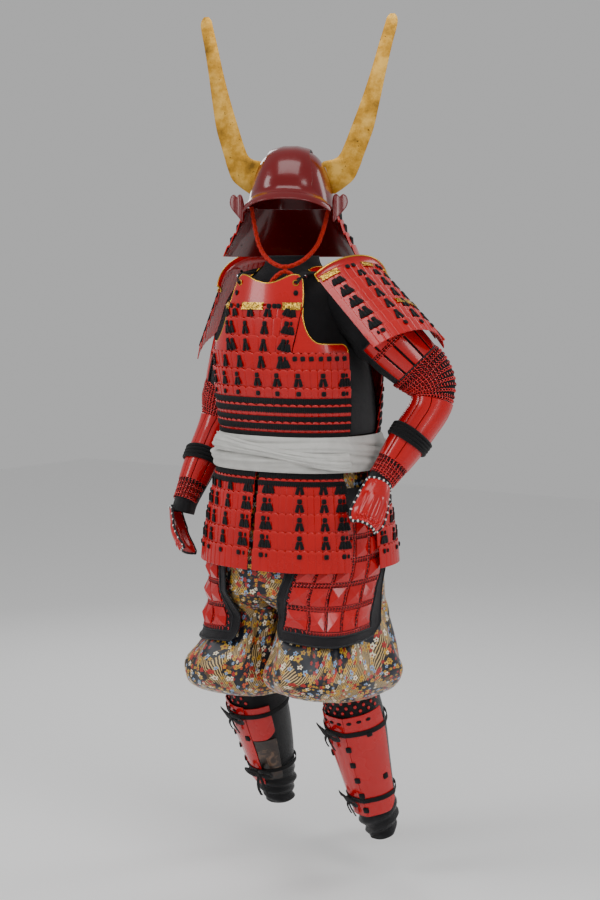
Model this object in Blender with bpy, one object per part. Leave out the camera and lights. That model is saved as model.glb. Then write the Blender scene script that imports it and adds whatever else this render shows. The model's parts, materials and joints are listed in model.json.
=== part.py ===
"""A red laced suit of samurai armour, worn pose, hollow: every piece is a wall of its own.

The suit faces -Y, its wearer's left is +X and +Z is up. Heights in the tables are metres above
the ground that the wearer stood on; the origin is the point between the shoulders where the
wearer carries it, so HOLD_HEIGHT is taken off every height as a solid is made.
"""
import math

import bmesh
import bpy
from mathutils import Matrix, Vector

# Driving sizes
HOLD_HEIGHT = 1.44
SEAM_GAP = 0.0003
CLOTH = 0.002
PLATE = 0.003
LAP = 0.0045
SQUARENESS = 2.3
LEFT, RIGHT = 1, -1
SIDE_NAMES = {LEFT: "left", RIGHT: "right"}

# Colours as linear RGB, with roughness and metallic
FINISHES = {
    "red_lacquer": ((0.60, 0.010, 0.012), 0.25, 0.0),
    "gold_leaf": ((0.80, 0.55, 0.16), 0.38, 1.0),
    "black_cloth": ((0.012, 0.012, 0.016), 0.65, 0.0),
    "black_braid": ((0.008, 0.008, 0.010), 0.85, 0.0),
    "red_mail": ((0.22, 0.010, 0.014), 0.55, 0.3),
    "red_braid": ((0.50, 0.015, 0.012), 0.75, 0.0),
    "brown_leather": ((0.055, 0.030, 0.020), 0.45, 0.0),
    "white_sash": ((0.80, 0.79, 0.77), 0.80, 0.0),
    "brocade": ((0.36, 0.24, 0.10), 0.50, 0.0),
}

# Cuirass form, the inside of the lames: height, half width, half depth, centre x, centre y
TORSO = (
    (1.100, 0.188, 0.160, 0.000, 0.000),
    (1.160, 0.196, 0.168, -0.001, 0.000),
    (1.240, 0.201, 0.174, -0.003, -0.002),
    (1.325, 0.199, 0.174, -0.007, -0.004),
    (1.400, 0.178, 0.166, -0.010, -0.006),
    (1.450, 0.156, 0.156, -0.011, -0.007),
    (1.510, 0.134, 0.142, -0.012, -0.008),
)
# Cloth yoke under the cuirass, above the part that follows the lames' inside
YOKE = (
    (1.100, 0.1845, 0.1587, 0.000, 0.000),
    (1.160, 0.1900, 0.1667, -0.001, 0.000),
    (1.240, 0.1810, 0.1726, -0.003, -0.002),
    (1.320, 0.1660, 0.1640, -0.007, -0.004),
    (1.380, 0.1570, 0.1500, -0.009, -0.006),
    (1.430, 0.1550, 0.1240, -0.010, -0.007),
    (1.465, 0.1460, 0.1060, -0.011, -0.007),
    (1.492, 0.1180, 0.0900, -0.012, -0.008),
    (1.512, 0.0880, 0.0780, -0.013, -0.009),
    (1.530, 0.0680, 0.0680, -0.014, -0.010),
    (1.556, 0.0600, 0.0600, -0.014, -0.010),
)
# Laced skirt form, the inside of its lames
SKIRT = (
    (0.780, 0.2500, 0.2140, 0.0, 0.0),
    (0.860, 0.2360, 0.2020, 0.0, 0.0),
    (0.950, 0.2200, 0.1880, 0.0, 0.0),
    (1.030, 0.2040, 0.1730, 0.0, 0.0),
    (1.085, 0.1930, 0.1635, 0.0, 0.0),
)
# Trouser seat, outside
SEAT = (
    (0.740, 0.2120, 0.1800, 0.0, 0.0),
    (0.850, 0.2060, 0.1740, 0.0, 0.0),
    (0.950, 0.1960, 0.1660, 0.0, 0.0),
    (1.030, 0.1860, 0.1560, 0.0, 0.0),
    (1.095, 0.1800, 0.1510, 0.0, 0.0),
)


def between(low, high, share):
    return low + (high - low) * share


def look_up(table, at):
    """The row of numbers after the first column, read from a table by a smooth curve at that height."""
    rows = sorted(table)
    at = min(max(at, rows[0][0]), rows[-1][0])
    k = max(i for i in range(len(rows) - 1) if rows[i][0] <= at or i == 0)
    before, low, high, after = (rows[min(max(k + i, 0), len(rows) - 1)] for i in (-1, 0, 1, 2))
    span = high[0] - low[0]
    share = (at - low[0]) / span
    found = []
    for column in range(1, len(low)):
        slope_low = (high[column] - before[column]) / max(high[0] - before[0], span)
        slope_high = (after[column] - low[column]) / max(after[0] - low[0], span)
        square, cube = share ** 2, share ** 3
        found.append((2 * cube - 3 * square + 1) * low[column] + (cube - 2 * square + share) * span * slope_low
                     + (3 * square - 2 * cube) * high[column] + (cube - square) * span * slope_high)
    return found


def round_form(table, turn, height, out=0.0):
    """A point on a body form. turn is in degrees: -90 is the front, 0 the wearer's left, 90 the back."""
    half_width, half_depth, centre_x, centre_y = look_up(table, height)
    across, along = math.cos(math.radians(turn)), math.sin(math.radians(turn))
    power = 2 / SQUARENESS
    return Vector((centre_x + math.copysign(abs(across) ** power, across) * (half_width + out),
                   centre_y + math.copysign(abs(along) ** power, along) * (half_depth + out), height))


def finish_of(name):
    colour, roughness, metallic = FINISHES[name]
    found = bpy.data.materials.get(name)
    if found:
        return found
    material = bpy.data.materials.new(name)
    material.use_nodes = True
    shader = material.node_tree.nodes["Principled BSDF"]
    shader.inputs["Base Color"].default_value = (*colour, 1.0)
    shader.inputs["Roughness"].default_value = roughness
    shader.inputs["Metallic"].default_value = metallic
    return material


def solid(name, points, faces, finish, shade_angle=40, split="BEAUTY"):
    """One named object from points in ground heights. split says how four sided faces are cut in two."""
    mesh = bpy.data.meshes.new(name)
    mesh.from_pydata([(p[0], p[1], p[2] - HOLD_HEIGHT) for p in points], [], faces)
    work = bmesh.new()
    work.from_mesh(mesh)
    bmesh.ops.recalc_face_normals(work, faces=work.faces)
    bmesh.ops.triangulate(work, faces=work.faces, quad_method=split)
    work.to_mesh(mesh)
    work.free()
    mesh.shade_smooth()
    mesh.set_sharp_from_angle(angle=math.radians(shade_angle))
    made = bpy.data.objects.new(name, mesh)
    made.data.materials.append(finish_of(finish))
    bpy.context.scene.collection.objects.link(made)
    return made


def wall(name, outer, inner, finish, closed=False, shade_angle=40, studs=False):
    """A wall between two grids of points with the same rows and columns. closed joins the last column to
    the first.
    With studs, points with even row and column are peaks, and each face is cut in two through its peak."""
    rows, columns = len(outer), len(outer[0])
    points = [p for row in outer for p in row] + [p for row in inner for p in row]
    back = rows * columns
    faces = []
    around = columns if closed else columns - 1
    for r in range(rows - 1):
        for c in range(around):
            d = (c + 1) % columns
            a, b, e, f = r * columns + c, r * columns + d, (r + 1) * columns + d, (r + 1) * columns + c
            faces.append((b, e, f, a) if studs and (r + c) % 2 else (a, b, e, f))
            faces.append((back + f, back + e, back + b, back + a))
    for c in range(around):
        d = (c + 1) % columns
        for r in (0, rows - 1):
            a, b = r * columns + c, r * columns + d
            faces.append((a, back + a, back + b, b) if r == 0 else (b, back + b, back + a, a))
    if not closed:
        for r in range(rows - 1):
            for c in (0, columns - 1):
                a, b = r * columns + c, (r + 1) * columns + c
                faces.append((b, back + b, back + a, a) if c == 0 else (a, back + a, back + b, b))
    return solid(name, points, faces, finish, shade_angle, "FIXED" if studs else "BEAUTY")


def grid(row_values, column_values, point):
    return [[point(r, c) for c in column_values] for r in row_values]


def spread(low, high, count):
    """count values from low to high, both included."""
    return [between(low, high, i / (count - 1)) for i in range(count)]


def dome(name, outer, inner, finish):
    """A bowl: rings of points from the rim to the crown, each grid ending in a flat cap."""
    columns = len(outer[0])
    points = [p for row in outer for p in row] + [p for row in inner for p in row]
    back = len(outer) * columns
    faces = []
    for r in range(len(outer) - 1):
        for c in range(columns):
            d = (c + 1) % columns
            a, b, e, f = r * columns + c, r * columns + d, (r + 1) * columns + d, (r + 1) * columns + c
            faces.append((a, b, e, f))
            faces.append((back + f, back + e, back + b, back + a))
    for c in range(columns):
        d = (c + 1) % columns
        faces.append((c, back + c, back + d, d))
    last = (len(outer) - 1) * columns
    faces.append(tuple(last + c for c in range(columns)))
    faces.append(tuple(back + last + c for c in reversed(range(columns))))
    return solid(name, points, faces, finish)


def lapped_rows(tops, bottom, head=0.0):
    """Grid rows for laced lames: (height, how far the face stands out). Each top edge laps over the lame above.
    head thickens the first lame's top edge."""
    step = 0.0004
    rows = []
    for k, top in enumerate(tops):
        low = tops[k + 1] if k + 1 < len(tops) else bottom
        rows.append((top, PLATE + LAP + (0.0 if k else head)))
        rows.append((low + (step if k + 1 < len(tops) else 0.0), PLATE))
    return rows


def lames(name, table, tops, bottom, columns, turn_at, head=0.0):
    """Rows of lames round a form, one wall whose face steps out at each row's top edge."""
    rows = lapped_rows(tops, bottom, head)
    outer = [[round_form(table, turn_at(c, height), height, out) for c in columns] for height, out in rows]
    inner = [[round_form(table, turn_at(c, height), height) for c in columns] for height, _ in rows]
    return wall(name, outer, inner, "red_lacquer", shade_angle=25)


class Limb:
    """A smooth path with a radius table. Angles: 0 is the front, 90 the outer side, 180 the back."""

    def __init__(self, side, corners, radii, front, trim=0.07, steps=6):
        self.side, self.front = side, Vector(front)
        self.radii = radii
        self.points = self.rounded([Vector(p) for p in corners], trim, steps)
        self.lengths = [0.0]
        for a, b in zip(self.points, self.points[1:]):
            self.lengths.append(self.lengths[-1] + (b - a).length)
        self.length = self.lengths[-1]

    @staticmethod
    def rounded(corners, trim, steps):
        """Straight runs joined by quadratic curves that start and end trim short of each corner."""
        path = [corners[0]]
        for before, corner, after in zip(corners, corners[1:], corners[2:]):
            reach = min(trim, (corner - before).length * 0.49, (after - corner).length * 0.49)
            start = corner + (before - corner).normalized() * reach
            end = corner + (after - corner).normalized() * reach
            for i in range(steps + 1):
                t = i / steps
                path.append(start * (1 - t) ** 2 + corner * 2 * t * (1 - t) + end * t ** 2)
        path.append(corners[-1])
        return path

    def at(self, along):
        """Centre and direction at a share of the length."""
        target = min(max(along, 0.0), 1.0) * self.length
        k = max(i for i in range(len(self.points) - 1) if self.lengths[i] <= target or i == 0)
        run = self.points[k + 1] - self.points[k]
        centre = self.points[k] + run * ((target - self.lengths[k]) / run.length)
        ahead = self.points[min(k + 2, len(self.points) - 1)] - self.points[k + 1]
        behind = self.points[k] - self.points[max(k - 1, 0)]
        share = (target - self.lengths[k]) / run.length
        near = run.normalized()
        other = ahead if share > 0.5 else behind
        if other.length > 0:
            near = near.lerp(other.normalized(), abs(share - 0.5))
        return centre, near.normalized()

    def radius(self, along):
        return look_up(self.radii, along)[0]

    def point(self, along, angle, out=0.0):
        centre, direction = self.at(along)
        forward = (self.front - direction * self.front.dot(direction)).normalized()
        outward = forward.cross(direction) * self.side
        reach = self.radius(along) + out
        turn = math.radians(angle)
        return centre + (forward * math.cos(turn) + outward * math.sin(turn)) * reach


def arm_fold(along, angle):
    """Soft drag folds across the loose upper sleeve, in metres."""
    fade = max(0.0, 1 - abs(along - 0.30) / 0.14)
    return 0.0035 * fade * math.sin(math.radians(3 * angle) + along * 46)


def leg_fold(along, angle):
    """Slack rings of cloth that gather at the foot of the legging, in metres."""
    fade = max(0.0, min(1.0, (along - 0.74) / 0.12))
    return 0.0035 * fade * math.sin(along * 95 + math.radians(2 * angle))


def tube(name, limb, alongs, around, out, thickness, finish, fold=None):
    """A sleeve of wall along a limb, open at both ends."""
    angles = [360 * i / around for i in range(around)]

    def skin(depth):
        return grid(alongs, angles, lambda s, a: limb.point(s, a, out - depth + (fold(s, a) if fold else 0.0)))

    return wall(name, skin(0.0), skin(thickness), finish, closed=True)


def limb_panel(name, limb, start, end, rings, angles, out, thickness, finish, crown=None, trim=None):
    """A curved plate on a limb. crown adds to its outer face, trim shortens its end by the angle."""
    levels = spread(0, 1, rings)

    def skin(height):
        rows = []
        for level in levels:
            alongs = [between(start, end - (trim(a) if trim else 0.0), level) for a in angles]
            rows.append([limb.point(s, a, height(s, a)) for s, a in zip(alongs, angles)])
        return rows

    outer = skin(lambda s, a: out + thickness + (crown(s, a) if crown else 0.0))
    wall(name, outer, skin(lambda s, a: out), finish, shade_angle=30)


# Where the sleeve's rings of points lie, so that what is sewn on it can share them
SLEEVE_RINGS = (0.0, 0.10, 0.20, 0.29, 0.375, 0.46, 0.496, 0.532, 0.568, 0.605, 0.75, 0.90, 1.0)
ARM_FACETS = 12
# Arms: path corners, then radius of the cloth sleeve by share of the length
ARMS = {
    LEFT: Limb(LEFT, ((0.060, -0.008, 1.430), (0.150, -0.008, 1.440), (0.342, 0.106, 1.228),
                      (0.262, -0.020, 1.035), (0.250, -0.048, 1.005)),
               ((0.0, 0.046), (0.10, 0.060), (0.20, 0.070), (0.32, 0.075), (0.45, 0.067), (0.545, 0.052),
                (0.64, 0.044), (0.81, 0.040), (0.94, 0.031), (1.0, 0.030)), (0.574, -0.819, 0.0)),
    RIGHT: Limb(RIGHT, ((-0.075, 0.000, 1.452), (-0.155, 0.008, 1.445), (-0.296, 0.077, 1.150),
                        (-0.307, -0.072, 0.925), (-0.309, -0.078, 0.905)),
                ((0.0, 0.045), (0.10, 0.057), (0.20, 0.062), (0.32, 0.063), (0.45, 0.060), (0.545, 0.052),
                 (0.64, 0.044), (0.81, 0.040), (0.94, 0.031), (1.0, 0.030)), (-0.35, -0.94, 0.0)),
}
# Lower legs: from inside the trouser hem to the ankle
LEGS = {
    LEFT: Limb(LEFT, ((0.146, -0.022, 0.560), (0.153, 0.000, 0.480), (0.157, 0.060, 0.303),
                      (0.172, 0.118, 0.108)),
               ((0.0, 0.066), (0.15, 0.069), (0.35, 0.072), (0.60, 0.062), (0.80, 0.053), (0.90, 0.050),
                (0.94, 0.041), (1.0, 0.038)), (0.21, -0.98, 0.0)),
    RIGHT: Limb(RIGHT, ((-0.158, 0.002, 0.540), (-0.161, 0.030, 0.450), (-0.160, 0.092, 0.293),
                        (-0.163, 0.142, 0.135)),
                ((0.0, 0.066), (0.15, 0.069), (0.35, 0.074), (0.60, 0.064), (0.80, 0.053), (0.90, 0.050),
                 (0.94, 0.041), (1.0, 0.038)), (-0.84, -0.54, 0.0)),
}

# Helmet: its own frame has the brow towards -Y, turned as the wearer's head is
HELMET_CENTRE = Vector((-0.0145, -0.0142, 1.668))
HELMET_TURN = math.radians(27)
# height over the rim, half width, length to the brow, length to the back
BOWL = (
    (0.000, 0.1030, 0.1180, 0.1220),
    (0.030, 0.1000, 0.1165, 0.1210),
    (0.060, 0.0930, 0.1090, 0.1150),
    (0.090, 0.0830, 0.0960, 0.1010),
    (0.115, 0.0690, 0.0770, 0.0820),
    (0.132, 0.0490, 0.0540, 0.0580),
    (0.141, 0.0210, 0.0230, 0.0250),
)
NECK_GUARD_FLARE = (
    (-0.118, 0.1640, 0.150, 0.1760),
    (-0.060, 0.1310, 0.132, 0.1480),
    (0.002, 0.1041, 0.1192, 0.1232),
)


def head_point(local):
    """From the helmet's frame to the suit's."""
    turned = Matrix.Rotation(HELMET_TURN, 3, "Z") @ Vector(local)
    return HELMET_CENTRE + turned


def bowl_point(table, turn, height, out=0.0):
    """turn in degrees: 0 is the brow, 90 the left side, 180 the back."""
    half_width, to_brow, to_back = look_up(table, height)
    across, along = math.sin(math.radians(turn)), math.cos(math.radians(turn))
    power = 2 / SQUARENESS
    length = to_brow if along > 0 else to_back
    return Vector((math.copysign(abs(across) ** power, across) * (half_width + out),
                   -math.copysign(abs(along) ** power, along) * (length + out), height))


def brow_lift(turn, height):
    """The rim arches up over the brow, and the rings above follow it less and less."""
    arch = max(0.0, math.cos(math.radians(turn))) ** 2
    return height + 0.033 * arch * (1 - height / BOWL[-1][0]) ** 2


def helmet_bowl():
    turns = [360 * i / 20 for i in range(20)]
    heights = [row[0] for row in BOWL]
    crown_drop = 0.0030
    outer = grid(heights, turns, lambda h, t: head_point(bowl_point(BOWL, t, brow_lift(t, h))))
    inner = grid(heights, turns, lambda h, t: head_point(
        bowl_point(BOWL, t, brow_lift(t, h), -PLATE) - Vector((0, 0, crown_drop if h > BOWL[-2][0] else 0.0))))
    dome("helmet_bowl", outer, inner, "red_lacquer")


def bowl_reach(across, pitch, out):
    """Where a ray at that pitch, 0 at the brow and 180 at the back, leaves the bowl at a distance across."""
    start = Vector((across, 0.0, 0.03))
    heading = Vector((0.0, -math.cos(math.radians(pitch)), math.sin(math.radians(pitch))))
    low, high = 0.0, 0.25
    for _ in range(30):
        middle = (low + high) / 2
        spot = start + heading * middle
        inside = spot.z < BOWL[-1][0]
        if inside and spot.z >= 0:
            half_width, to_brow, to_back = look_up(BOWL, spot.z)
            length = to_brow if spot.y < 0 else to_back
            inside = (abs(spot.x) / half_width) ** SQUARENESS + (abs(spot.y) / length) ** SQUARENESS < 1
        low, high = (middle, high) if inside else (low, middle)
    return start + heading * (low + out)


BROW_SEAT = 0.0040


def helmet_front_plate():
    """The broad plate that runs from the brim up the brow and over the crown."""
    half = 0.066
    pitches = [7, 22, 40, 60, 82, 104, 126]
    columns = spread(-1, 1, 7)

    def skin(out):
        rows = []
        for pitch in pitches:
            narrowing = 1 - 0.28 * max(0.0, math.sin(math.radians(min(pitch, 90)))) ** 2
            rows.append([head_point(bowl_reach(c * half * narrowing, pitch, out)) for c in columns])
        brim_rows = []
        for reach, drop in ((0.029, -0.006), (0.016, 0.006)):
            steps = [Vector((c * 0.010, -reach * (1 - 0.35 * c * c), drop - 0.028 * c * c)) for c in columns]
            brim_rows.append([head_point(bowl_point(BOWL, c * 60, 0.024, out) + step)
                              for c, step in zip(columns, steps)])
        return brim_rows + rows

    wall("helmet_front_plate", skin(BROW_SEAT + PLATE), skin(BROW_SEAT), "red_lacquer")


# Horn: height over the rim, then the distance from the helmet's middle of its inner and outer edges
HORN = (
    (0.0345, 0.0000, 0.1055),
    (0.0490, 0.0000, 0.1270),
    (0.0690, 0.0000, 0.1490),
    (0.0980, 0.0000, 0.1625),
    (0.1120, 0.0000, 0.1675),
    (0.1180, 0.0980, 0.1690),
    (0.1280, 0.1120, 0.1725),
    (0.1500, 0.1225, 0.1800),
    (0.1930, 0.1380, 0.1940),
    (0.2600, 0.1610, 0.2075),
    (0.3330, 0.1830, 0.2206),
    (0.4000, 0.2005, 0.2340),
    (0.4520, 0.2147, 0.2455),
    (0.4690, 0.2195, 0.2440),
    (0.4770, 0.2265, 0.2380),
)
HORN_THICKNESS = 0.0035
HORN_SEAT = -0.0005


def horn(side):
    """A flat gilded horn: a tapering bow whose root follows the bowl's side."""
    sweep_back, base_y = 0.26, 0.012

    def skin(depth):
        rows = []
        for height, inner, outer_edge in HORN:
            inner = max(inner, look_up(BOWL, height)[0] + HORN_SEAT if height < 0.113 else 0.0)
            back = base_y + sweep_back * max(0.0, height - 0.06) + depth
            rows.append([head_point((side * across, back, height))
                         for across in (inner, between(inner, outer_edge, 0.5), outer_edge)])
        return rows

    wall(f"horn_{SIDE_NAMES[side]}", skin(0.0), skin(HORN_THICKNESS), "gold_leaf")


# Ear flap: along its bend from the neck guard's edge forward and back out.
# Place on the plan, then lower and upper height
FLAP_BEND = (
    (0.1090, -0.0500, -0.0280, 0.0000),
    (0.1065, -0.0620, -0.0320, 0.0060),
    (0.1110, -0.0700, -0.0330, 0.0250),
    (0.1180, -0.0670, -0.0250, 0.0290),
    (0.1250, -0.0640, -0.0170, 0.0230),
    (0.1330, -0.0610, -0.0080, 0.0290),
    (0.1400, -0.0580, 0.0020, 0.0240),
    (0.1425, -0.0570, 0.0100, 0.0150),
)
GUARD_EDGE_TURN = 78


def ear_flap(side):
    """The first lame's end, run forward of the neck guard and turned back into a leaf shaped flap."""
    def edge_points(out):
        spots = [bowl_point(NECK_GUARD_FLARE, GUARD_EDGE_TURN - 0.25, h, out) for h in (-0.0270, -0.0135, 0.0)]
        return [Vector((side * p.x, p.y, p.z)) for p in spots]

    def skin(out):
        columns = [edge_points(out)]
        for k, (x, y, low, high) in enumerate(FLAP_BEND):
            before, after = FLAP_BEND[max(k - 1, 0)], FLAP_BEND[min(k + 1, len(FLAP_BEND) - 1)]
            run = Vector((after[0] - before[0], after[1] - before[1])).normalized()
            spot = Vector((x - run.y * out, y + run.x * out))
            columns.append([Vector((side * spot.x, spot.y, between(low, high, v))) for v in (0.0, 0.5, 1.0)])
        return [[head_point(p) for p in column] for column in columns]

    wall(f"ear_flap_{SIDE_NAMES[side]}", skin(PLATE), skin(0.0), "red_lacquer")


def neck_guard():
    """Four flaring laced lames round the sides and back."""
    turns = spread(GUARD_EDGE_TURN, 360 - GUARD_EDGE_TURN, 15)
    rows = lapped_rows((0.001, -0.029, -0.059, -0.089), -0.117)
    outer = [[head_point(bowl_point(NECK_GUARD_FLARE, t, h, out)) for t in turns] for h, out in rows]
    inner = [[head_point(bowl_point(NECK_GUARD_FLARE, t, h)) for t in turns] for h, _ in rows]
    wall("neck_guard", outer, inner, "red_lacquer", shade_angle=25)


# Chin cord: from the middle under the chin up the cheek into the bowl; in the helmet's frame
CHEEK_ROUTE = ((0.0, -0.114, -0.1425), (0.026, -0.106, -0.136), (0.051, -0.086, -0.118),
               (0.070, -0.062, -0.092), (0.081, -0.044, -0.060), (0.089, -0.034, -0.026),
               (0.0945, -0.030, 0.002))
TAIL_ROUTE = ((0.0, -0.1140, -0.1531), (0.012, -0.1142, -0.158), (0.024, -0.1150, -0.168),
              (0.034, -0.1152, -0.181), (0.038, -0.1146, -0.194))
CORD_RADIUS = 0.0055


def smooth_route(points, count):
    """A curve through all the points, Catmull-Rom, as evenly spaced points."""
    dense = []
    last = len(points) - 1
    for k in range(last):
        p0, p1, p2, p3 = (points[min(max(k + i, 0), last)] for i in (-1, 0, 1, 2))
        for i in range(12):
            t = i / 12
            dense.append(0.5 * (2 * p1 + (p2 - p0) * t + (2 * p0 - 5 * p1 + 4 * p2 - p3) * t ** 2
                                + (3 * p1 - 3 * p2 + p3 - p0) * t ** 3))
    dense.append(points[-1])
    lengths = [0.0]
    for a, b in zip(dense, dense[1:]):
        lengths.append(lengths[-1] + (b - a).length)
    even = []
    for target in spread(0.0, lengths[-1], count):
        k = max(i for i in range(len(dense) - 1) if lengths[i] <= target or i == 0)
        share = min(1.0, (target - lengths[k]) / (lengths[k + 1] - lengths[k]))
        even.append(dense[k].lerp(dense[k + 1], share))
    return even


def cord(name, route, radius, finish, count):
    """A plain round cord through the route's points."""
    curve = bpy.data.curves.new(name, "CURVE")
    curve.dimensions = "3D"
    line = curve.splines.new("POLY")
    points = smooth_route(route, count)
    line.points.add(len(points) - 1)
    for target, p in zip(line.points, points):
        target.co = (p.x, p.y, p.z - HOLD_HEIGHT, 1.0)
    curve.bevel_depth = radius
    curve.bevel_resolution = 1
    curve.use_fill_caps = True
    made = bpy.data.objects.new(name, curve)
    curve.materials.append(finish_of(finish))
    bpy.context.scene.collection.objects.link(made)
    return made


def chin_cord():
    """One braid from cheek to cheek under the chin, and its two ends hanging from the knot."""
    def both_sides(route):
        left = [head_point(p) for p in reversed(route)]
        right = [head_point((-p[0], p[1], p[2])) for p in route[1:]]
        return left + right

    cord("chin_cord", both_sides(CHEEK_ROUTE), CORD_RADIUS, "red_braid", 25)
    cord("chin_cord_ends", both_sides(TAIL_ROUTE), CORD_RADIUS, "red_braid", 11)


# Cuirass rows, as the heights of the lames' top edges
NARROW_TOPS = (1.433, 1.407, 1.365)
WIDE_TOPS = (1.325, 1.285, 1.242, 1.202, 1.161)
WIDE_BOTTOM = 1.119
WIDE_TURNS = (-162, -18)
# Half span of the back's wide rows in degrees: they leave room for the arms at the top
BACK_SPAN = ((1.119, 72), (1.161, 72), (1.202, 70), (1.242, 64), (1.285, 60), (1.325, 58))
# The upper rows' middle and half span in degrees: the chest is twisted a little to the wearer's left
UPPER_SPAN = (
    (1.325, -87.0, 22.5),
    (1.407, -86.0, 31.5),
    (1.433, -85.5, 35.5),
    (1.470, -83.0, 36.0),
    (1.510, -80.5, 34.0),
)


def upper_turn(share, height, facing):
    """Turn of a place across the upper rows, share -1 to 1. facing is -1 for the front and 1 for the back."""
    middle, half = look_up(UPPER_SPAN, height)
    return middle + share * half if facing < 0 else 90 - share * half


def plate_between(name, columns, levels, low_at, top_at, turn_at):
    """A plain curved plate on the cuirass form, its lower and upper edges given per column."""
    def skin(out):
        rows = []
        for level in levels:
            heights = [between(low_at(share), top_at(share), level) for share in columns]
            rows.append([round_form(TORSO, turn_at(share, height), height, out)
                         for share, height in zip(columns, heights)])
        return rows

    wall(name, skin(PLATE), skin(0.0), "red_lacquer")


def top_plate(name, facing):
    """The smooth top plate, its neck edge dipped between two raised corners."""
    def top_at(share):
        rise = 0.5 - 0.5 * math.cos(math.pi * min(1.0, abs(share) / 0.80))
        fall = max(0.0, (abs(share) - 0.86) / 0.14)
        return 1.487 + 0.020 * rise - 0.012 * fall ** 2

    plate_between(name, spread(-1, 1, 13), spread(0, 1, 4), lambda share: NARROW_TOPS[0] + 0.0006, top_at,
                  lambda share, height: upper_turn(share, height, facing))


def cuirass_half(name, facing):
    """Front or back: narrow rows between the armholes, then wide rows to the open sides."""
    def wide_turn(share, height):
        return -90 + 72 * share if facing < 0 else 90 - share * look_up(BACK_SPAN, height)[0]

    lames(f"{name}_upper_lames", TORSO, NARROW_TOPS, WIDE_TOPS[0] + 0.0006, spread(-1, 1, 7),
          lambda share, height: upper_turn(share, height, facing))
    lames(f"{name}_lower_lames", TORSO, WIDE_TOPS, WIDE_BOTTOM, spread(-1, 1, 12), wide_turn)


def armpit_plate(side):
    """The smooth side plate under the arm, its top edge curved down from the breast to the side."""
    def turn_at(share, height):
        start = upper_turn(side, height, -1) + side * 0.6
        end = WIDE_TURNS[1] if side == LEFT else WIDE_TURNS[0]
        return between(start, end, share)

    def top_at(share):
        fall = min(1.0, share / 0.55)
        return 1.344 + 0.084 * (1 - fall) ** 2.4 - 0.010 * max(0.0, (share - 0.9) / 0.1)

    plate_between(f"armpit_plate_{SIDE_NAMES[side]}", spread(0, 1, 11), spread(0, 1, 3),
                  lambda share: WIDE_TOPS[0] + 0.0006, top_at, turn_at)


def yoke_top(x, y):
    """Height of the yoke's shoulder over a place on the plan."""
    low, high = 1.30, YOKE[-1][0]
    for _ in range(30):
        middle = (low + high) / 2
        half_width, half_depth, centre_x, centre_y = look_up(YOKE, middle)
        reach = (abs(x - centre_x) / half_width) ** SQUARENESS + (abs(y - centre_y) / half_depth) ** SQUARENESS
        low, high = (middle, high) if reach < 1 else (low, middle)
    return low


STRAP_LIFT = 0.0028


def shoulder_strap(side):
    """The plate that carries the cuirass over the shoulder, from back to breast."""
    lanes = spread(0.074, 0.112, 3)
    lengths = spread(0.080, -0.052, 8)

    def skin(out):
        return [[Vector((x, y, yoke_top(x, y) + out)) for x in (side * lane - 0.012 for lane in lanes)]
                for y in lengths]

    wall(f"shoulder_strap_{SIDE_NAMES[side]}", skin(STRAP_LIFT + PLATE), skin(STRAP_LIFT), "red_lacquer")


def cutter_along(name, limb, rings, out):
    """A solid bar that follows a limb, to cut an armhole."""
    around = ARM_FACETS
    angles = [360 * i / around for i in range(around)]
    rows = grid(rings, angles, lambda s, a: limb.point(s, a, out + arm_fold(s, a)))
    points = [p for row in rows for p in row]
    faces = []
    for r in range(len(rings) - 1):
        for c in range(around):
            d = (c + 1) % around
            faces.append((r * around + c, r * around + d, (r + 1) * around + d, (r + 1) * around + c))
    faces.append(tuple(range(around)))
    faces.append(tuple((len(rings) - 1) * around + c for c in range(around)))
    made = solid(name, points, faces, "black_cloth")
    made.hide_render = True
    made.display_type = "WIRE"
    return made


def arming_yoke():
    """The black cloth yoke with its collar, cut where the sleeves join."""
    around = 22
    turns = [360 * i / around for i in range(around)]
    heights = [1.126, 1.24, 1.34, 1.40, 1.445, 1.475, 1.500, 1.524, 1.552]
    outer = grid(heights, turns, lambda h, t: round_form(YOKE, t, h))
    inner = grid(heights, turns,
                 lambda h, t: round_form(YOKE, t, h, -CLOTH) - Vector((0, 0, 0.002 if h > 1.40 else 0)))
    made = wall("arming_yoke", outer, inner, "black_cloth", closed=True)
    for side in (LEFT, RIGHT):
        cut = made.modifiers.new(f"armhole_{SIDE_NAMES[side]}", "BOOLEAN")
        cut.operation = "DIFFERENCE"
        cut.object = cutter_along(f"armhole_cutter_{SIDE_NAMES[side]}", ARMS[side], SLEEVE_RINGS[:8], 0.0008)


def sleeve(side):
    tube(f"sleeve_{SIDE_NAMES[side]}", ARMS[side], SLEEVE_RINGS, ARM_FACETS, 0.0, CLOTH, "black_cloth",
         fold=arm_fold)


SPLINTS = 5


def upper_arm_splints(side):
    """Narrow plates side by side down the outside of the upper arm, as one ridged panel."""
    first, last = (-48, 72) if side == LEFT else (10, 130)
    turns, rises = [], []
    for k in range(SPLINTS):
        left_edge = between(first, last, k / SPLINTS)
        width = (last - first) / SPLINTS
        for share, rise in ((0.03, 0.0), (0.10, 0.0022), (0.84, 0.0022), (0.91, 0.0)):
            turns.append(left_edge + width * share)
            rises.append(rise)
    lift = {turn: rise for turn, rise in zip(turns, rises)}
    limb_panel(f"upper_arm_splints_{SIDE_NAMES[side]}", ARMS[side], 0.285, 0.455, 3, turns, 0.0036, 0.0022,
               "red_lacquer", crown=lambda s, a: lift[a])


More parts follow.
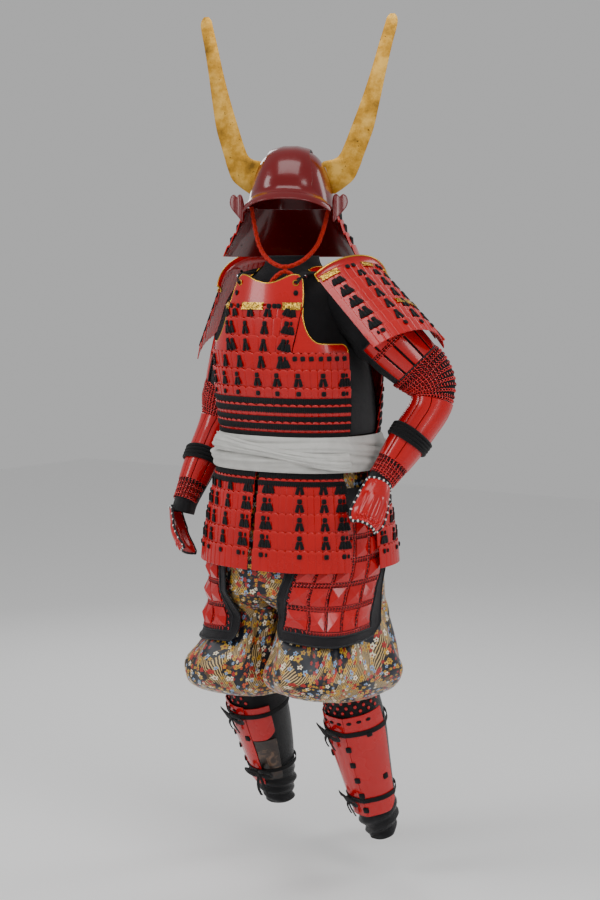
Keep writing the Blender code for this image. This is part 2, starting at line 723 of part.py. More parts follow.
def elbow_mail(side):
    """Mail sewn over the elbow: a bulging sleeve of links."""
    limb = ARMS[side]

    def bulge(along, angle):
        middle = math.sin(math.pi * min(1.0, max(0.0, (along - 0.46) / 0.145)))
        return 0.006 * middle * (1 + 0.5 * math.sin(math.radians(angle)))

    angles = spread(-150, 150, 11)
    limb_panel(f"elbow_mail_{SIDE_NAMES[side]}", limb, 0.46, 0.605, 5, angles,
               0.0006, 0.0030, "red_mail", crown=bulge)


def forearm_guard(side):
    """Long plates round the forearm with a gap down the inside."""
    angles = spread(-120, 150, 10)
    limb_panel(f"forearm_guard_{SIDE_NAMES[side]}", ARMS[side], 0.612, 0.90, 3, angles,
               0.0019, 0.0030, "red_lacquer")


# Hand guards: where the knuckle edge is, and which way the back of the hand faces. They start at the cuff.
HANDS = {
    LEFT: ((0.276, -0.128, 0.927), (0.80, -0.30, 0.50)),
    RIGHT: ((-0.274, -0.112, 0.812), (-0.95, -0.12, 0.12)),
}

# How far over the cuff they start, and how far off its cloth
CUFF_STEP = {LEFT: 0.001, RIGHT: -0.014}
CUFF_CLEAR = {LEFT: 0.0063, RIGHT: 0.0010}


def hand_guard(side):
    """A domed plate over the back of the hand, with raised finger ridges."""
    knuckles, facing = (Vector(v) for v in HANDS[side])
    wrist, _ = ARMS[side].at(1.0)
    ahead = (knuckles - wrist).normalized()
    wrist = wrist + ahead * CUFF_STEP[side]
    cuff = ARMS[side].radius(1.0) + CUFF_CLEAR[side]
    up = (facing.normalized() - ahead * facing.normalized().dot(ahead)).normalized()
    across = ahead.cross(up)
    length = (knuckles - wrist).length
    columns, levels = spread(-1, 1, 9), spread(0, 1, 6)

    def skin(out):
        rows = []
        for level in levels:
            fullness = math.sin(math.pi * min(1.0, level * 1.1) / 2)
            half = between(cuff, 0.046, fullness)
            lift = between(cuff, 0.034, fullness)
            half *= 1 - 0.30 * max(0.0, (level - 0.72) / 0.28) ** 2
            row = []
            for share in columns:
                bend = 62 * share
                rise = half * (math.cos(math.radians(bend)) - 1) * between(1.0, 1.05, fullness)
                sideways = half * math.sin(math.radians(bend)) * between(1.0, 1.12, fullness)
                ridge = 0.0022 * max(0.0, math.cos(math.pi * share * 4)) if 0.45 < level < 0.85 and out else 0.0
                curl = -0.030 * level ** 2.2
                height = lift + rise + out + ridge + curl
                row.append(wrist + ahead * (length * level) + across * sideways + up * height)
            rows.append(row)
        return rows

    wall(f"hand_guard_{SIDE_NAMES[side]}", skin(PLATE), skin(0.0), "red_lacquer")


# Shoulder guards: middle of the cylinder at the top edge, the way down, the way it faces, radius,
# half span in degrees
SHOULDER_GUARDS = {
    LEFT: ((0.096, 0.006, 1.412), (0.749, -0.159, -0.644), (0.638, -0.090, 0.764), 0.150, 50),
    RIGHT: ((-0.0655, 0.0437, 1.4262), (-0.560, 0.360, -0.745), (-0.811, -0.058, 0.582), 0.170, 41),
}
GUARD_LENGTH = 0.262
GUARD_ROWS = 6


def guard_frame(side):
    centre, down, facing = (Vector(v) for v in SHOULDER_GUARDS[side][:3])
    down = down.normalized()
    facing = (facing - down * facing.dot(down)).normalized()
    return centre, down, facing, down.cross(facing) * side


def guard_point(side, along, share, out=0.0):
    """A point on the shoulder guard's inside: metres down from the first lame's top, share -1 to 1 across."""
    centre, down, facing, across = guard_frame(side)
    radius, half_span = SHOULDER_GUARDS[side][3:]
    reach = radius + 0.035 * along + out
    turn = math.radians(share * half_span)
    return centre + down * along + facing * (math.cos(turn) * reach) + across * (math.sin(turn) * reach)


def shoulder_guard(side):
    """Six laced lames under a flared cap plate."""
    pitch = 0.0395
    shares = spread(-1, 1, 9)
    rows = []
    for k in range(GUARD_ROWS):
        low = GUARD_LENGTH - 0.024 if k == GUARD_ROWS - 1 else (k + 1) * pitch - 0.0004
        rows.append((k * pitch, PLATE + LAP))
        rows.append((low, PLATE))
    outer = [[guard_point(side, s, a, out) for a in shares] for s, out in rows]
    inner = [[guard_point(side, s, a) for a in shares] for s, _ in rows]
    wall(f"shoulder_guard_{SIDE_NAMES[side]}", outer, inner, "red_lacquer", shade_angle=25)
    levels = ((-0.0008, 0.0), (-0.009, 0.0010), (-0.017, 0.0055), (-0.022, 0.0130))

    def cap(out):
        return [[guard_point(side, s * (1 - 0.35 * a ** 4), a, bend + out) for a in shares]
                for s, bend in levels]

    wall(f"shoulder_guard_cap_{SIDE_NAMES[side]}", cap(PLATE), cap(0.0), "red_lacquer")


# Shoulder ties: place along the guard's inside and across it where the tie ends
TIE_RADIUS = 0.0035
TIE_SEAT = {LEFT: (0.010, 0.05), RIGHT: (0.010, 0.0)}


def shoulder_tie(side):
    """The stout cord that carries a shoulder guard from the shoulder strap."""
    x, y = side * 0.098 - 0.012, 0.012
    slope = (yoke_top(x + 0.006, y) - yoke_top(x - 0.006, y)) / 0.012
    normal = Vector((-slope, 0.0, 1.0)).normalized()
    foot = Vector((x, y, yoke_top(x, y))) + normal * (STRAP_LIFT + PLATE + 0.0003)
    along, share = TIE_SEAT[side]
    head = guard_point(side, along, share, -0.0015)
    facing = (guard_point(side, along, share, 0.01) - head).normalized()
    middle = (foot + head) / 2 + Vector((0, 0, 0.004))
    route = [foot, foot + normal * 0.012, middle, head - facing * 0.012, head]
    cord(f"shoulder_tie_{SIDE_NAMES[side]}", route, TIE_RADIUS, "black_braid", 12)


# Belt: the sash that ties the cuirass in at the waist
BELT_LOW, BELT_HIGH = 1.040, 1.124


def belt():
    """A soft sash wound round, then crossed at the front."""
    around = 20
    turns = [360 * i / around for i in range(around)]
    form = ((BELT_LOW, 0.2125, 0.1815, 0.0, 0.0), (BELT_HIGH, 0.1976, 0.1696, 0.0, 0.0))
    levels = ((0.0, 0.0), (0.24, 0.0100), (0.50, 0.007), (0.76, 0.0100), (1.0, 0.0))
    outer, inner = [], []
    for level, bulge in levels:
        height = between(BELT_LOW, BELT_HIGH, level)
        outer.append([round_form(form, turn, height, 0.002 + bulge) for turn in turns])
        inner.append([round_form(form, turn, height) for turn in turns])
    wall("sash_wrap", outer, inner, "white_sash", closed=True)

    lanes = spread(-1, 1, 3)
    runs = spread(0, 1, 12)

    def strip(out):
        rows = []
        for run in runs:
            turn = between(-128, -24, run)
            middle = between(1.106, 1.066, 0.5 - 0.5 * math.cos(math.pi * run))
            half = 0.017 + 0.004 * math.cos(2 * math.pi * run)
            rows.append([round_form(form, turn, middle + lane * half, 0.0132 + out * (1.2 - 0.6 * lane * lane))
                         for lane in lanes])
        return rows

    wall("sash_cross", strip(0.008), strip(0.0), "white_sash")


SKIRT_TOPS = (1.062, 1.026, 0.989, 0.946, 0.903, 0.860)
SKIRT_BOTTOM = 0.806
# Skirt panels: first and last turn
SKIRT_PANELS = {
    "front_left": (-89.2, -27),
    "front_right": (-153, -90.8),
    "side_left": (-3, 38),
    "side_right": (142, 183),
    "back_left": (40.5, 89.2),
    "back_right": (90.8, 139.5),
}


def skirt():
    for name, (first, last) in SKIRT_PANELS.items():
        lames(f"skirt_{name}", SKIRT, SKIRT_TOPS, SKIRT_BOTTOM, spread(first, last, 5),
              lambda turn, height: turn, head=0.0004)


# Trouser legs below the crotch, outside: height, middle x, middle y, half width, half depth
CROTCH = SEAT[0][0]
TROUSER_LEGS = {
    LEFT: ((0.690, 0.112, -0.018, 0.110, 0.135), (0.620, 0.127, -0.036, 0.123, 0.148),
           (0.560, 0.138, -0.050, 0.1345, 0.176), (0.528, 0.138, -0.050, 0.132, 0.171),
           (0.504, 0.141, -0.044, 0.116, 0.143), (0.498, 0.147, -0.022, 0.092, 0.105),
           (0.500, 0.1510, -0.0050, 0.0717, 0.0752)),
    RIGHT: ((0.675, -0.108, -0.006, 0.102, 0.123), (0.610, -0.1175, -0.016, 0.107, 0.131),
            (0.550, -0.1360, -0.029, 0.133, 0.150), (0.500, -0.140, -0.029, 0.132, 0.150),
            (0.471, -0.146, -0.010, 0.116, 0.130), (0.464, -0.154, 0.012, 0.094, 0.104),
            (0.466, -0.1602, 0.0260, 0.0722, 0.0777)),
}
# How the cloth's inner face lies from the outer one in those rows: sideways, upwards
TURN_UNDER = ((-1.0, 0.0), (-1.0, 0.0), (-1.0, 0.0), (-1.0, 0.0), (-0.8, 0.6), (0.0, 1.0), (0.0, 1.0))
LEG_SQUARENESS = 2.8
LEG_COLUMNS = 20
OUTER_SHARE = 0.75


def crotch_point(side, t, out=0.0):
    """The half of the seat's ring on that side, closed by the crotch seam."""
    if t <= OUTER_SHARE:
        turn = between(-90, 90, t / OUTER_SHARE)
        spot = round_form(SEAT, turn, CROTCH, out)
        spot.x = max(spot.x, SEAM_GAP / 2 - min(out, 0.0))
    else:
        half_depth = look_up(SEAT, CROTCH)[1] + out
        spot = Vector((SEAM_GAP / 2 - min(out, 0.0),
                       between(half_depth, -half_depth, (t - OUTER_SHARE) / (1 - OUTER_SHARE)), CROTCH))
    spot.x *= side
    return spot


def leg_ellipse(side, row, t, out=0.0, puffed=True):
    height, middle_x, middle_y, half_width, half_depth = row
    if t <= OUTER_SHARE:
        turn = between(-125, 125, t / OUTER_SHARE)
    else:
        turn = between(125, 235, (t - OUTER_SHARE) / (1 - OUTER_SHARE))
    puff = 0.0
    if puffed and height < CROTCH:
        fullness = math.sin(math.pi * min(1.0, max(0.0, (CROTCH - height) / 0.28)))
        puff = 0.0055 * fullness * math.sin(math.radians(turn) * 9 + height * 30 * side)
    round_off = 2.0 if half_width < 0.080 else LEG_SQUARENESS
    across, along = math.cos(math.radians(turn)), math.sin(math.radians(turn))
    wide = half_width + out + puff * max(0.0, across + 0.5)
    deep = half_depth + out + puff
    reach_x = math.copysign(abs(across) ** (2 / round_off), across) * wide
    reach_y = math.copysign(abs(along) ** (2 / round_off), along) * deep
    return Vector((middle_x + side * reach_x, middle_y + reach_y, height))


def leg_rows(side, depth=0.0):
    """Rings of the leg from the crotch to the drawn in hem, depth metres inside the cloth's outer face."""
    ts = [i / LEG_COLUMNS for i in range(LEG_COLUMNS)]
    first = TROUSER_LEGS[side][0]
    rows = [[crotch_point(side, t, -depth) - Vector((0, 0, SEAM_GAP)) for t in ts]]
    rows.append([crotch_point(side, t, -depth).lerp(leg_ellipse(side, first, t, -depth), 0.5) for t in ts])
    for row, (sideways, upwards) in zip(TROUSER_LEGS[side], TURN_UNDER):
        rows.append([leg_ellipse(side, row, t, depth * sideways) + Vector((0, 0, depth * upwards)) for t in ts])
    return rows


def trousers():
    turns = [180 * i / 12 - 90 for i in range(24)]
    heights = [CROTCH, 0.84, 0.96, 1.095]
    outer = grid(heights, turns, lambda h, t: round_form(SEAT, t, h))
    inner = grid(heights, turns, lambda h, t: round_form(SEAT, t, h, -CLOTH))
    wall("trouser_seat", outer, inner, "brocade", closed=True)
    for side in (LEFT, RIGHT):
        wall(f"trouser_leg_{SIDE_NAMES[side]}", leg_rows(side), leg_rows(side, CLOTH), "brocade", closed=True)


def lower_body(side, t, height, out):
    """The trousers' outside at any height: the seat, then the blend, then the leg."""
    first = TROUSER_LEGS[side][0]
    if height >= CROTCH:
        spot = round_form(SEAT, between(-90, 90, t / OUTER_SHARE), height, out)
        spot.x *= side
        return spot
    if height >= first[0]:
        share = (CROTCH - height) / (CROTCH - first[0])
        spot = crotch_point(side, t, out).lerp(leg_ellipse(side, first, t, out, puffed=False), share)
        spot.z = height
        return spot
    middle_x, middle_y, half_width, half_depth = look_up(TROUSER_LEGS[side][:4], height)
    return leg_ellipse(side, (height, middle_x, middle_y, half_width, half_depth), t, out, puffed=False)


# Thigh guards: bottom height, then the shares round the leg of both edges at the bottom, the crotch and the top
THIGH_TOP = 1.000
THIGH = {
    LEFT: (0.640, ((0.0, 0.037, 0.378), (0.30, 0.060, 0.395), (0.50, 0.085, 0.430), (1.0, 0.105, 0.440))),
    RIGHT: (0.612, ((0.0, 0.070, 0.388), (0.30, 0.084, 0.405), (0.50, 0.094, 0.440), (1.0, 0.105, 0.450))),
}
THIGH_CLEAR = 0.0132
THIGH_SEAT = 0.0019
THIGH_CLOTH = 0.003
STUD_ROWS, STUD_COLUMNS = 5, 5
STUDS_TOP = 0.84
STUD_HEIGHT = 0.011


def thigh_edges(side, v):
    """First and last share round the leg at v, 0 at the hem and 1 at the top, with rounded lower corners."""
    first, last = look_up(THIGH[side][1], v)
    corner = 0.022 * max(0.0, 1 - v / 0.09) ** 2
    return first + corner, last - corner


def thigh_point(side, u, v, out):
    first, last = thigh_edges(side, v)
    low = THIGH[side][0]
    sag = (0.010 * math.sin(math.pi * u) - 0.010 * u) * (1 - v)
    clear = between(THIGH_CLEAR, THIGH_SEAT, max(0.0, (v - 0.90) / 0.10))
    return lower_body(side, between(first, last, u), between(low, THIGH_TOP, v) - sag, clear + out)


def thigh_guard(side):
    """A hanging cloth panel with a plain border, and on it four sided studs raised in rows."""
    border_u, border_v = 0.085, 0.080
    us, vs = [0.0, border_u], [0.0, border_v]
    for k in range(STUD_COLUMNS):
        us += [between(border_u, 1 - border_u, (k + share) / STUD_COLUMNS) for share in (0.5, 1.0)]
    for k in range(STUD_ROWS):
        vs += [between(border_v, STUDS_TOP, (k + share) / STUD_ROWS) for share in (0.5, 1.0)]
    us.append(1.0)
    vs += [0.90, 1.0]

    def rise(r, c):
        row_peak = 1 < r < 2 + 2 * STUD_ROWS and r % 2 == 0
        column_peak = 1 < c < 2 + 2 * STUD_COLUMNS and c % 2 == 0
        on_field = 1 <= r <= 1 + 2 * STUD_ROWS and 1 <= c <= 1 + 2 * STUD_COLUMNS
        peak = STUD_HEIGHT * (0.6 if r == 2 * STUD_ROWS else 1.0)
        return peak if row_peak and column_peak else 0.0015 if on_field else 0.0

    outer = [[thigh_point(side, u, v, THIGH_CLOTH + rise(r, c)) for c, u in enumerate(us)]
             for r, v in enumerate(vs)]
    inner = grid(vs, us, lambda v, u: thigh_point(side, u, v, 0.0))
    wall(f"thigh_guard_{SIDE_NAMES[side]}", outer, inner, "red_lacquer", shade_angle=15, studs=True)


def legging(side):
    tube(f"legging_{SIDE_NAMES[side]}", LEGS[side], spread(0, 1, 9), 12, 0.0, CLOTH, "black_cloth",
         fold=leg_fold)


SHIN_LIFT = 0.0037
# Where the long shin plates start, as a share of the leg: just under the trouser hem
SHIN_TOP = {LEFT: 0.220, RIGHT: 0.250}


def shin_guard(side):
    """Two long plates that meet in a ridge down the shin, a short inner plate and the leather under it."""
    def crease(along, angle):
        return 0.0045 * max(0.0, 1 - abs(angle) / 18)

    def round_outer(angle):
        return 0.05 * max(0.0, (angle - 54) / 26) ** 2

    def round_inner(angle):
        return 0.05 * max(0.0, (-angle - 92) / 24) ** 2

    name, limb = SIDE_NAMES[side], LEGS[side]
    limb_panel(f"shin_guard_{name}", limb, SHIN_TOP[side], 0.83, 5, (-66, -50, -32, -14, 0, 14, 32, 50, 66, 80),
               SHIN_LIFT, PLATE, "red_lacquer", crown=crease, trim=round_outer)
    inner_angles = spread(-116, -66.4, 5)
    limb_panel(f"shin_inner_plate_{name}", limb, SHIN_TOP[side] + 0.010, 0.49, 3, inner_angles,
               SHIN_LIFT, PLATE, "red_lacquer", trim=round_inner)
    limb_panel(f"shin_leather_{name}", limb, 0.498, 0.80, 3, inner_angles, 0.0012, 0.003, "brown_leather")


def build():
    for old in list(bpy.data.objects):
        bpy.data.objects.remove(old)
    helmet_bowl()
    helmet_front_plate()
    neck_guard()
    chin_cord()
    top_plate("breast_plate", -1)
    top_plate("back_plate", 1)
    cuirass_half("front", -1)
    cuirass_half("back", 1)
    arming_yoke()
    belt()
    skirt()
    trousers()
    for side in (LEFT, RIGHT):
        horn(side)
        ear_flap(side)
        armpit_plate(side)
        shoulder_strap(side)
        shoulder_guard(side)
        shoulder_tie(side)
        sleeve(side)
        upper_arm_splints(side)
        elbow_mail(side)
        forearm_guard(side)
        hand_guard(side)
        thigh_guard(side)
        legging(side)
        shin_guard(side)


build()
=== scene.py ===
"""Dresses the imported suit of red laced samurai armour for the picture: lacing, mail, rims, cloth and finishes.

Heights in the tables are metres above the ground that the wearer stood on, as in the part's source; HOLD_HEIGHT
is taken off as a point is made. The suit faces -Y, its wearer's left is +X and +Z is up.
"""
import json
import math

import bpy
from mathutils import Matrix, Vector, noise

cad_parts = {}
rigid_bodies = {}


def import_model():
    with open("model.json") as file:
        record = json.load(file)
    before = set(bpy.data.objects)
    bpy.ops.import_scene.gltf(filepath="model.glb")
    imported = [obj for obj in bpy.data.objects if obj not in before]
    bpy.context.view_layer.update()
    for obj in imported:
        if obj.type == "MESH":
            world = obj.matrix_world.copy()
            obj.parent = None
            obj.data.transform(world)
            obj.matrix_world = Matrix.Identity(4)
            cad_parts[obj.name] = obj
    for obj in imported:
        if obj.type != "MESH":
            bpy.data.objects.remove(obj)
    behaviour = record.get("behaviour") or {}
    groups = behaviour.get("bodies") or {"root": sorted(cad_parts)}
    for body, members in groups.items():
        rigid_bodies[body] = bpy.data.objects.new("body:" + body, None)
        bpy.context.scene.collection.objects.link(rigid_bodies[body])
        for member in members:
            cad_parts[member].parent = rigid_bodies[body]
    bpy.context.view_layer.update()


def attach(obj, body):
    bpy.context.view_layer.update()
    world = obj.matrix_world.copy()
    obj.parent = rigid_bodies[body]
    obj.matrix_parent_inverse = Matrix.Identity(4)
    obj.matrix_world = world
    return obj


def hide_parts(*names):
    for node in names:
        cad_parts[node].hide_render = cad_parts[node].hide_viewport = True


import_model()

bl_info = {
    "name": "Laced armour dressing",
    "version": (1, 0, 0),
    "blender": (4, 5, 0),
    "location": "View3D > Sidebar > Armour",
    "description": "Builds the lames, lacing, mail, cloth and rims of a worn suit of samurai armour",
    "category": "Add Mesh",
}

# Driving sizes
HOLD_HEIGHT = 1.44
SEAM_GAP = 0.0003
CLOTH = 0.002
PLATE = 0.003
SQUARENESS = 2.3
LEFT, RIGHT = 1, -1
SIDE_NAMES = {LEFT: "left", RIGHT: "right"}

# Cuirass form, the inside of the lames: height, half width, half depth, centre x, centre y
TORSO = (
    (1.100, 0.188, 0.160, 0.000, 0.000),
    (1.160, 0.196, 0.168, -0.001, 0.000),
    (1.240, 0.201, 0.174, -0.003, -0.002),
    (1.325, 0.199, 0.174, -0.007, -0.004),
    (1.400, 0.178, 0.166, -0.010, -0.006),
    (1.450, 0.156, 0.156, -0.011, -0.007),
    (1.510, 0.134, 0.142, -0.012, -0.008),
)
# Cloth yoke under the cuirass, above the part that follows the lames' inside
YOKE = (
    (1.100, 0.1845, 0.1587, 0.000, 0.000),
    (1.160, 0.1900, 0.1667, -0.001, 0.000),
    (1.240, 0.1810, 0.1726, -0.003, -0.002),
    (1.320, 0.1660, 0.1640, -0.007, -0.004),
    (1.380, 0.1570, 0.1500, -0.009, -0.006),
    (1.430, 0.1550, 0.1240, -0.010, -0.007),
    (1.465, 0.1460, 0.1060, -0.011, -0.007),
    (1.492, 0.1180, 0.0900, -0.012, -0.008),
    (1.512, 0.0880, 0.0780, -0.013, -0.009),
    (1.530, 0.0680, 0.0680, -0.014, -0.010),
    (1.556, 0.0600, 0.0600, -0.014, -0.010),
)
# Laced skirt form, the inside of its lames
SKIRT = (
    (0.780, 0.2500, 0.2140, 0.0, 0.0),
    (0.860, 0.2360, 0.2020, 0.0, 0.0),
    (0.950, 0.2200, 0.1880, 0.0, 0.0),
    (1.030, 0.2040, 0.1730, 0.0, 0.0),
    (1.085, 0.1930, 0.1635, 0.0, 0.0),
)
# Trouser seat, outside
SEAT = (
    (0.740, 0.2120, 0.1800, 0.0, 0.0),
    (0.850, 0.2060, 0.1740, 0.0, 0.0),
    (0.950, 0.1960, 0.1660, 0.0, 0.0),
    (1.030, 0.1860, 0.1560, 0.0, 0.0),
    (1.095, 0.1800, 0.1510, 0.0, 0.0),
)


def between(low, high, share):
    return low + (high - low) * share


def look_up(table, at):
    """The row of numbers after the first column, read from a table by a smooth curve at that height."""
    rows = sorted(table)
    at = min(max(at, rows[0][0]), rows[-1][0])
    k = max(i for i in range(len(rows) - 1) if rows[i][0] <= at or i == 0)
    before, low, high, after = (rows[min(max(k + i, 0), len(rows) - 1)] for i in (-1, 0, 1, 2))
    span = high[0] - low[0]
    share = (at - low[0]) / span
    found = []
    for column in range(1, len(low)):
        slope_low = (high[column] - before[column]) / max(high[0] - before[0], span)
        slope_high = (after[column] - low[column]) / max(after[0] - low[0], span)
        square, cube = share ** 2, share ** 3
        found.append((2 * cube - 3 * square + 1) * low[column] + (cube - 2 * square + share) * span * slope_low
                     + (3 * square - 2 * cube) * high[column] + (cube - square) * span * slope_high)
    return found


def swell(value, squareness=SQUARENESS):
    """A sine or cosine of the turn, pushed out towards a rounded square."""
    return math.copysign(abs(value) ** (2 / squareness), value)


def round_form(table, turn, height, out=0.0):
    """A point on a body form. turn is in degrees: -90 is the front, 0 the wearer's left, 90 the back."""
    half_width, half_depth, centre_x, centre_y = look_up(table, height)
    across, along = math.cos(math.radians(turn)), math.sin(math.radians(turn))
    return Vector((centre_x + swell(across) * (half_width + out), centre_y + swell(along) * (half_depth + out), height))


def in_form(x, y, half_width, half_depth):
    return (abs(x) / half_width) ** SQUARENESS + (abs(y) / half_depth) ** SQUARENESS < 1


def furthest(inside, low, high):
    """The last place from low to high where inside holds."""
    for _ in range(30):
        middle = (low + high) / 2
        low, high = (middle, high) if inside(middle) else (low, middle)
    return low


def spread(low, high, count):
    """count values from low to high, both included."""
    return [between(low, high, i / (count - 1)) for i in range(count)]


class Limb:
    """A smooth path with a radius table. Angles: 0 is the front, 90 the outer side, 180 the back."""

    def __init__(self, side, corners, radii, front, trim=0.07, steps=6):
        self.side, self.front = side, Vector(front)
        self.radii = radii
        self.points = self.rounded([Vector(p) for p in corners], trim, steps)
        self.lengths = [0.0]
        for a, b in zip(self.points, self.points[1:]):
            self.lengths.append(self.lengths[-1] + (b - a).length)
        self.length = self.lengths[-1]

    @staticmethod
    def rounded(corners, trim, steps):
        """Straight runs joined by quadratic curves that start and end trim short of each corner."""
        path = [corners[0]]
        for before, corner, after in zip(corners, corners[1:], corners[2:]):
            reach = min(trim, (corner - before).length * 0.49, (after - corner).length * 0.49)
            start = corner + (before - corner).normalized() * reach
            end = corner + (after - corner).normalized() * reach
            for i in range(steps + 1):
                t = i / steps
                path.append(start * (1 - t) ** 2 + corner * 2 * t * (1 - t) + end * t ** 2)
        path.append(corners[-1])
        return path

    def at(self, along):
        """Centre and direction at a share of the length."""
        target = min(max(along, 0.0), 1.0) * self.length
        k = max(i for i in range(len(self.points) - 1) if self.lengths[i] <= target or i == 0)
        run = self.points[k + 1] - self.points[k]
        centre = self.points[k] + run * ((target - self.lengths[k]) / run.length)
        ahead = self.points[min(k + 2, len(self.points) - 1)] - self.points[k + 1]
        behind = self.points[k] - self.points[max(k - 1, 0)]
        share = (target - self.lengths[k]) / run.length
        near = run.normalized()
        other = ahead if share > 0.5 else behind
        if other.length > 0:
            near = near.lerp(other.normalized(), abs(share - 0.5))
        return centre, near.normalized()

    def radius(self, along):
        return look_up(self.radii, along)[0]

    def point(self, along, angle, out=0.0):
        centre, direction = self.at(along)
        forward = (self.front - direction * self.front.dot(direction)).normalized()
        outward = forward.cross(direction) * self.side
        reach = self.radius(along) + out
        return centre + (forward * math.cos(math.radians(angle)) + outward * math.sin(math.radians(angle))) * reach


def arm_fold(along, angle):
    """Soft drag folds across the loose upper sleeve, in metres."""
    fade = max(0.0, 1 - abs(along - 0.30) / 0.14)
    return 0.0035 * fade * math.sin(math.radians(3 * angle) + along * 46)


def leg_fold(along, angle):
    """Slack rings of cloth that gather at the foot of the legging, in metres."""
    fade = max(0.0, min(1.0, (along - 0.74) / 0.12))
    return 0.0035 * fade * math.sin(along * 95 + math.radians(2 * angle))


# Arms: path corners, then radius of the cloth sleeve by share of the length
ARMS = {
    LEFT: Limb(LEFT, ((0.060, -0.008, 1.430), (0.150, -0.008, 1.440), (0.342, 0.106, 1.228),
                      (0.262, -0.020, 1.035), (0.250, -0.048, 1.005)),
               ((0.0, 0.046), (0.10, 0.060), (0.20, 0.070), (0.32, 0.075), (0.45, 0.067), (0.545, 0.052),
                (0.64, 0.044), (0.81, 0.040), (0.94, 0.031), (1.0, 0.030)), (0.574, -0.819, 0.0)),
    RIGHT: Limb(RIGHT, ((-0.075, 0.000, 1.452), (-0.155, 0.008, 1.445), (-0.296, 0.077, 1.150),
                        (-0.307, -0.072, 0.925), (-0.309, -0.078, 0.905)),
                ((0.0, 0.045), (0.10, 0.057), (0.20, 0.062), (0.32, 0.063), (0.45, 0.060), (0.545, 0.052),
                 (0.64, 0.044), (0.81, 0.040), (0.94, 0.031), (1.0, 0.030)), (-0.35, -0.94, 0.0)),
}
# Lower legs: from inside the trouser hem to the ankle
LEGS = {
    LEFT: Limb(LEFT, ((0.146, -0.022, 0.560), (0.153, 0.000, 0.480), (0.157, 0.060, 0.303), (0.172, 0.118, 0.108)),
               ((0.0, 0.066), (0.15, 0.069), (0.35, 0.072), (0.60, 0.062), (0.80, 0.053), (0.90, 0.050),
                (0.94, 0.041), (1.0, 0.038)), (0.21, -0.98, 0.0)),
    RIGHT: Limb(RIGHT, ((-0.158, 0.002, 0.540), (-0.161, 0.030, 0.450), (-0.160, 0.092, 0.293),
                        (-0.163, 0.142, 0.135)),
                ((0.0, 0.066), (0.15, 0.069), (0.35, 0.074), (0.60, 0.064), (0.80, 0.053), (0.90, 0.050),
                 (0.94, 0.041), (1.0, 0.038)), (-0.84, -0.54, 0.0)),
}

# Helmet: its own frame has the brow towards -Y, turned as the wearer's head is
HELMET_CENTRE = Vector((-0.0145, -0.0142, 1.668))
HELMET_TURN = math.radians(27)
# height over the rim, half width, length to the brow, length to the back
BOWL = (
    (0.000, 0.1030, 0.1180, 0.1220),
    (0.030, 0.1000, 0.1165, 0.1210),
    (0.060, 0.0930, 0.1090, 0.1150),
    (0.090, 0.0830, 0.0960, 0.1010),
    (0.115, 0.0690, 0.0770, 0.0820),
    (0.132, 0.0490, 0.0540, 0.0580),
    (0.141, 0.0210, 0.0230, 0.0250),
)
NECK_GUARD_FLARE = ((-0.118, 0.1640, 0.150, 0.1760), (-0.060, 0.1310, 0.132, 0.1480), (0.002, 0.1041, 0.1192, 0.1232))


def head_point(local):
    """From the helmet's frame to the suit's."""
    turned = Matrix.Rotation(HELMET_TURN, 3, "Z") @ Vector(local)
    return HELMET_CENTRE + turned


def bowl_point(table, turn, height, out=0.0):
    """turn in degrees: 0 is the brow, 90 the left side, 180 the back."""
    half_width, to_brow, to_back = look_up(table, height)
    across, along = math.sin(math.radians(turn)), math.cos(math.radians(turn))
    length = to_brow if along > 0 else to_back
    return Vector((swell(across) * (half_width + out), -swell(along) * (length + out), height))


def brow_lift(turn, height):
    """The rim arches up over the brow, and the rings above follow it less and less."""
    arch = max(0.0, math.cos(math.radians(turn))) ** 2
    return height + 0.033 * arch * (1 - height / BOWL[-1][0]) ** 2


def bowl_reach(across, pitch, out):
    """Where a ray at that pitch, 0 at the brow and 180 at the back, leaves the bowl at a distance across."""
    start = Vector((across, 0.0, 0.03))
    heading = Vector((0.0, -math.cos(math.radians(pitch)), math.sin(math.radians(pitch))))

    def inside(reach):
        spot = start + heading * reach
        if not 0 <= spot.z < BOWL[-1][0]:
            return spot.z < 0
        half_width, to_brow, to_back = look_up(BOWL, spot.z)
        return in_form(spot.x, spot.y, half_width, to_brow if spot.y < 0 else to_back)

    return start + heading * (furthest(inside, 0.0, 0.25) + out)


BROW_SEAT = 0.0040


# Horn: height over the rim, then the distance from the helmet's middle of its inner and outer edges
HORN = (
    (0.0345, 0.0000, 0.1055),
    (0.0490, 0.0000, 0.1270),
    (0.0690, 0.0000, 0.1490),
    (0.0980, 0.0000, 0.1625),
    (0.1120, 0.0000, 0.1675),
    (0.1180, 0.0980, 0.1690),
    (0.1280, 0.1120, 0.1725),
    (0.1500, 0.1225, 0.1800),
    (0.1930, 0.1380, 0.1940),
    (0.2600, 0.1610, 0.2075),
    (0.3330, 0.1830, 0.2206),
    (0.4000, 0.2005, 0.2340),
    (0.4520, 0.2147, 0.2455),
    (0.4690, 0.2195, 0.2440),
    (0.4770, 0.2265, 0.2380),
)
HORN_THICKNESS = 0.0035
HORN_SEAT = -0.0005


# Ear flap: along its bend from the neck guard's edge forward and back out; place on the plan, then lower and
# upper height
FLAP_BEND = (
    (0.1090, -0.0500, -0.0280, 0.0000),
    (0.1065, -0.0620, -0.0320, 0.0060),
    (0.1110, -0.0700, -0.0330, 0.0250),
    (0.1180, -0.0670, -0.0250, 0.0290),
    (0.1250, -0.0640, -0.0170, 0.0230),
    (0.1330, -0.0610, -0.0080, 0.0290),
    (0.1400, -0.0580, 0.0020, 0.0240),
    (0.1425, -0.0570, 0.0100, 0.0150),
)
GUARD_EDGE_TURN = 78


